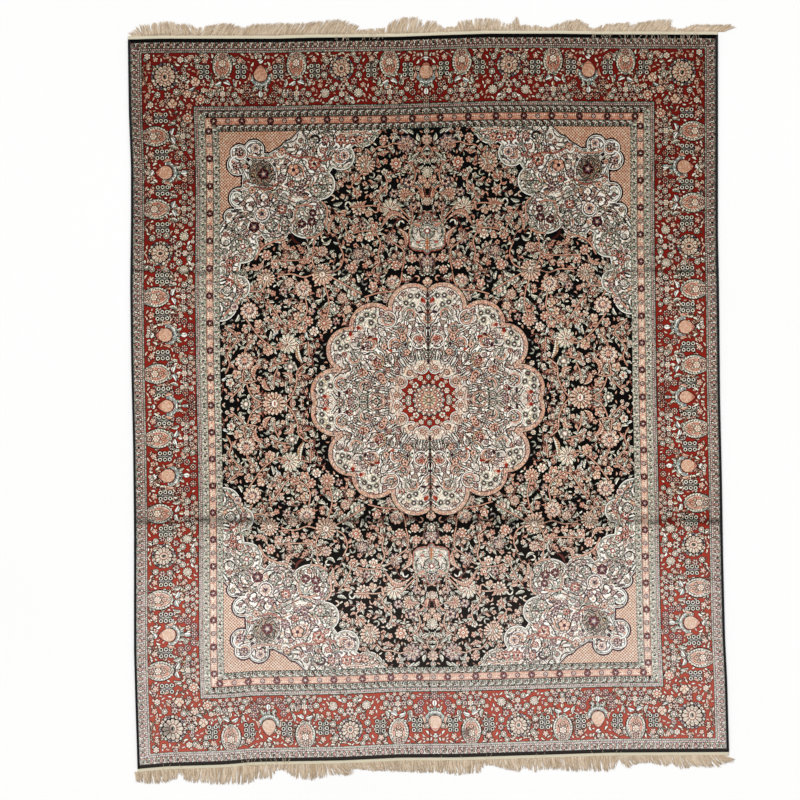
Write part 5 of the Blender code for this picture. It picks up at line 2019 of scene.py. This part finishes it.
def lay_strands(end, table, settings):
    """The middle lines of a fringe's threads, each as rings of place, half width and chance."""
    shuffle = np.random.default_rng(7 if end > 0 else 8)
    rows = np.array(table) * MILLIMETRE
    count = settings.threads_per_end
    half = RUG_WIDTH / 2
    root = np.linspace(-half + 0.003, half - 0.003, count) + shuffle.uniform(-0.0006, 0.0006, count)
    reach = np.interp(root, rows[:, 0], rows[:, 1])
    drift = np.interp(root, rows[:, 0], rows[:, 2])
    clump = np.round(root / settings.clump_width) * settings.clump_width
    clump_chance = np.sin(clump * 917.0) * 0.5 + np.sin(clump * 331.0) * 0.5
    reach = reach * shuffle.uniform(0.82, 1.04, count) + 0.003 * clump_chance
    reach = np.clip(reach, SHORTEST_END, LONGEST_END)
    pull = (clump - root) * (0.55 + 0.3 * clump_chance)
    drift = drift * shuffle.uniform(0.6, 1.25, count) + 0.007 * clump_chance
    drift = drift + shuffle.normal(0, 0.0035, count)
    sway = shuffle.normal(0, 0.0022, count)[:, None]
    shares = np.linspace(0.0, 1.0, THREAD_RINGS)[None, :]
    x = root[:, None] + (drift + pull)[:, None] * shares**1.35 + sway * np.sin(shares * math.pi * 1.6)
    edge = end_place(end, root)
    y = edge[:, None] + end * (BAND_DEPTH - 0.002 + (reach[:, None] + 0.002) * shares)
    lift = shuffle.uniform(0.0006, 0.0020, count)[:, None]
    z = lift + 0.0006 * np.sin(shares * 7.0 + shuffle.uniform(0, 6, count)[:, None]) * (shares < 0.95)
    width = shuffle.uniform(0.0009, 0.0015, count)[:, None] * (1.0 - 0.55 * shares**3)
    places = np.stack([x + SHIFT_X, y + SHIFT_Y, np.maximum(z, 0.0005)], axis=-1)
    return places, width, shuffle.uniform(0, 1, count)


def strand_mesh(name, places, width, chance, finish):
    """Threads from their middle lines, each a thin square tube, as one object."""
    count, rings = places.shape[:2]
    ahead = np.gradient(places, axis=1)
    ahead /= np.linalg.norm(ahead, axis=-1, keepdims=True) + 1e-12
    side = np.stack([-ahead[..., 1], ahead[..., 0], np.zeros_like(ahead[..., 0])], axis=-1)
    side /= np.linalg.norm(side, axis=-1, keepdims=True) + 1e-12
    up = np.cross(ahead, side)
    up *= np.sign(up[..., 2:3] + 1e-9)
    spread = width[..., None]
    tube = np.stack([places + side * spread, places + up * spread * 0.7, places - side * spread,
                     places - up * spread * 0.7], axis=2)
    tube[..., 2] = np.maximum(tube[..., 2], 0.0001)
    points = tube.reshape(-1, 3)
    number = np.arange(len(points)).reshape(count, rings, 4)
    following = np.roll(number, -1, axis=2)
    sides = [number[:, :-1], number[:, 1:], following[:, 1:], following[:, :-1]]
    quads = np.stack(sides, axis=-1).reshape(-1, 4)
    caps = np.concatenate([number[:, 0], number[:, -1, ::-1]])
    corners = np.concatenate([quads.ravel(), caps.ravel()])
    piece = mesh_from_arrays(name, points, corners, [4] * (len(quads) + len(caps)), finish)
    shape = bmesh.new()
    shape.from_mesh(piece.data)
    bmesh.ops.recalc_face_normals(shape, faces=shape.faces)
    shape.to_mesh(piece.data)
    shape.free()
    add_values(piece.data, "thread", np.repeat(chance, rings * 4))
    return piece


def lay_loose_threads(stretches, settings):
    """Threads that have come away and lie over the band and the pile's first rows."""
    shuffle = np.random.default_rng(19)
    lines = []
    for end, start, stop, inward, number in stretches:
        for _ in range(number):
            root = shuffle.uniform(start, stop) * MILLIMETRE
            length = shuffle.uniform(0.4, 1.0) * inward * MILLIMETRE
            swing = shuffle.normal(0, 0.010)
            shares = np.linspace(0.0, 1.0, THREAD_RINGS)
            x = root + swing * shares + 0.002 * np.sin(shares * 5.0 + root * 90.0)
            y = float(end_place(end, root)) + end * (BAND_DEPTH * 0.9 - (length + BAND_DEPTH) * shares)
            z = settings.pile_height * np.clip(shares * 2.2, 0.55, 1.0) + 0.0002
            lines.append(np.stack([x + SHIFT_X, y + SHIFT_Y, z], axis=-1))
    places = np.array(lines)
    width = np.full(places.shape[:2], LOOSE_HALF_WIDTH)
    return places, width, shuffle.uniform(0.4, 1.0, len(lines))


# Stretches of loose threads. columns: end, start, stop, inward reach, how many
LOOSE_THREADS = (
    (1, -390, -340, 14, 9), (1, -290, -190, 12, 12), (1, 680, 1140, 24, 40), (1, 980, 1130, 44, 12),
    (-1, -800, -590, 16, 18), (-1, -1180, 1100, 10, 14),
)


def prepare(piece):
    """Every piece rides on the rug's one body."""
    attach(piece, "root")


# The add-on


def metres(name, description, default):
    """A length a user may change."""
    return bpy.props.FloatProperty(
        name=name, description=description, default=default, unit="LENGTH", precision=4)


def colour_of(name, description, code):
    """A colour a user may change."""
    return bpy.props.FloatVectorProperty(
        name=name, description=description, default=linear(code)[:3], subtype="COLOR", size=3, min=0.0,
        max=1.0)


class RugSettings(bpy.types.PropertyGroup):
    """The sizes and colours of the rug."""

    pile_height: metres("Pile height", "Thickness of the rug over its pile", 0.006)
    band_height: metres("Band height", "Thickness of the woven end bands", 0.0026)
    fold_dip: metres("Fold dip", "Depth of the old fold lines", 0.0011)
    long_fold: metres("Long fold", "X of the fold line along the rug", 0.004)
    upper_fold: metres("Upper fold", "Y of the fold line across the top half", 0.545)
    lower_fold: metres("Lower fold", "Y of the fold line across the bottom half", -0.508)
    turn_pitch: metres("Turn pitch", "Distance between the turns of the side overcasting", 0.0026)
    clump_width: metres("Clump width", "Width of the clumps that the fringe gathers into", 0.013)
    threads_per_end: bpy.props.IntProperty(
        name="Threads", description="Loose threads at each end", default=2300)
    pile_sheen: bpy.props.FloatProperty(
        name="Pile sheen", description="Strength of the silk's sheen", default=0.0)
    binding: colour_of("Binding", "The dark of the side overcasting", "#0c0b0d")
    binding_light: colour_of("Binding light", "The worn places of the overcasting", "#1c1a1c")
    band: colour_of("Band", "The woven end bands", "#e2d9bf")
    fringe: colour_of("Fringe", "The cotton ends", "#ecd9c0")
    fringe_shade: colour_of("Fringe shade", "Dusty cotton", "#b79e7e")


for silk_name, silk_code in SILKS:
    described = colour_of(silk_name.capitalize(), f"The silk called {silk_name}", silk_code)
    RugSettings.__annotations__[silk_name] = described


class WeavePile(bpy.types.Operator):
    """Weaves the knotted pile, with its whole pattern."""

    bl_idname = "rug.weave_pile"
    bl_label = "Weave pile"

    def execute(self, context):
        settings = context.scene.rug
        pile, area, size = build_pile(settings)
        prepare(pile)
        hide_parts("pile_body")
        return {"FINISHED"}


class BindSides(bpy.types.Operator):
    """Overcasts both long sides."""

    bl_idname = "rug.bind_sides"
    bl_label = "Bind sides"

    def execute(self, context):
        settings = context.scene.rug
        sides = (("overcast_left", -1, "selvedge_left"), ("overcast_right", 1, "selvedge_right"))
        for name, side, node in sides:
            cord = build_selvedge(name, side, settings)
            prepare(cord)
            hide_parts(node)
        return {"FINISHED"}


class WeaveEnds(bpy.types.Operator):
    """Weaves the end bands and lays out the fringes that leave them."""

    bl_idname = "rug.weave_ends"
    bl_label = "Weave ends"

    def execute(self, context):
        settings = context.scene.rug
        cotton = warp_cotton(settings)
        for word, end, table in (("top", 1, TOP_LOCKS), ("bottom", -1, BOTTOM_LOCKS)):
            band = build_band(f"end_band_{word}", end, settings)
            fringe = strand_mesh(f"warp_fringe_{word}", *lay_strands(end, table, settings), cotton)
            for piece in (band, fringe):
                prepare(piece)
                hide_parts(f"fringe_{word}")
        loose = strand_mesh("loose_threads", *lay_loose_threads(LOOSE_THREADS, settings), cotton)
        prepare(loose)
        return {"FINISHED"}


# The stage: the floor's side and how far it lies below the rug, the light from all round,
# the sun's tilt, strength and softness, and the camera's sensor, lens and view in squares
FLOOR_SIDE = 30
FLOOR_DROP = 0.0006
ROOM_LIGHT = 0.66
SUN_TILT = (-28, -24, 0)
SUN_STRENGTH = 1.5
SUN_SOFTNESS = 25
SENSOR = 36.0
LENS = 70.0
VIEW_SIDE = 800


class SetStage(bpy.types.Operator):
    """Sets out the floor, the lights and the camera straight above."""

    bl_idname = "rug.set_stage"
    bl_label = "Set stage"

    def execute(self, context):
        bpy.ops.object.select_all(action="DESELECT")
        bpy.ops.mesh.primitive_plane_add(size=FLOOR_SIDE, location=(0, 0, -FLOOR_DROP))
        floor = context.object
        floor.name = "floor"
        bpy.ops.object.transform_apply(location=True)
        floor.data.materials.append(studio_floor())
        world = bpy.data.worlds.new("studio")
        world.use_nodes = True
        light = world.node_tree.nodes["Background"]
        light.inputs["Color"].default_value = (1, 1, 1, 1)
        light.inputs["Strength"].default_value = ROOM_LIGHT
        context.scene.world = world
        bpy.ops.object.light_add(type="SUN", rotation=[math.radians(tilt) for tilt in SUN_TILT])
        sun = context.object.data
        sun.energy = SUN_STRENGTH
        sun.angle = math.radians(SUN_SOFTNESS)
        place = (VIEW_SIDE / 2 - MIDDLE_COLUMN) * RULING + SHIFT_X, SHIFT_Y
        height = VIEW_SIDE * RULING * LENS / SENSOR
        bpy.ops.object.camera_add(location=(*place, height), rotation=(0, 0, 0))
        camera = context.object
        camera.data.lens = LENS
        camera.data.sensor_width = SENSOR
        camera.data.dof.use_dof = False
        context.scene.camera = camera
        context.scene.view_settings.view_transform = "Standard"
        return {"FINISHED"}


class RugPanel(bpy.types.Panel):
    """Lists what makes the rug."""

    bl_idname = "VIEW3D_PT_rug"
    bl_label = "Oriental silk rug"
    bl_space_type = "VIEW_3D"
    bl_region_type = "UI"
    bl_category = "Rug"

    def draw(self, context):
        for operator in OPERATORS:
            self.layout.operator(operator.bl_idname)
        for name in RugSettings.__annotations__:
            self.layout.prop(context.scene.rug, name)


OPERATORS = (BindSides, WeaveEnds, WeavePile, SetStage)


def register():
    for made in (RugSettings, *OPERATORS, RugPanel):
        bpy.utils.register_class(made)
    bpy.types.Scene.rug = bpy.props.PointerProperty(type=RugSettings)


def unregister():
    del bpy.types.Scene.rug
    for made in (RugPanel, *reversed(OPERATORS), RugSettings):
        bpy.utils.unregister_class(made)


def main():
    register()
    bpy.ops.rug.bind_sides()
    bpy.ops.rug.weave_ends()
    bpy.ops.rug.weave_pile()
    bpy.ops.rug.set_stage()


if __name__ == "__main__":
    main()
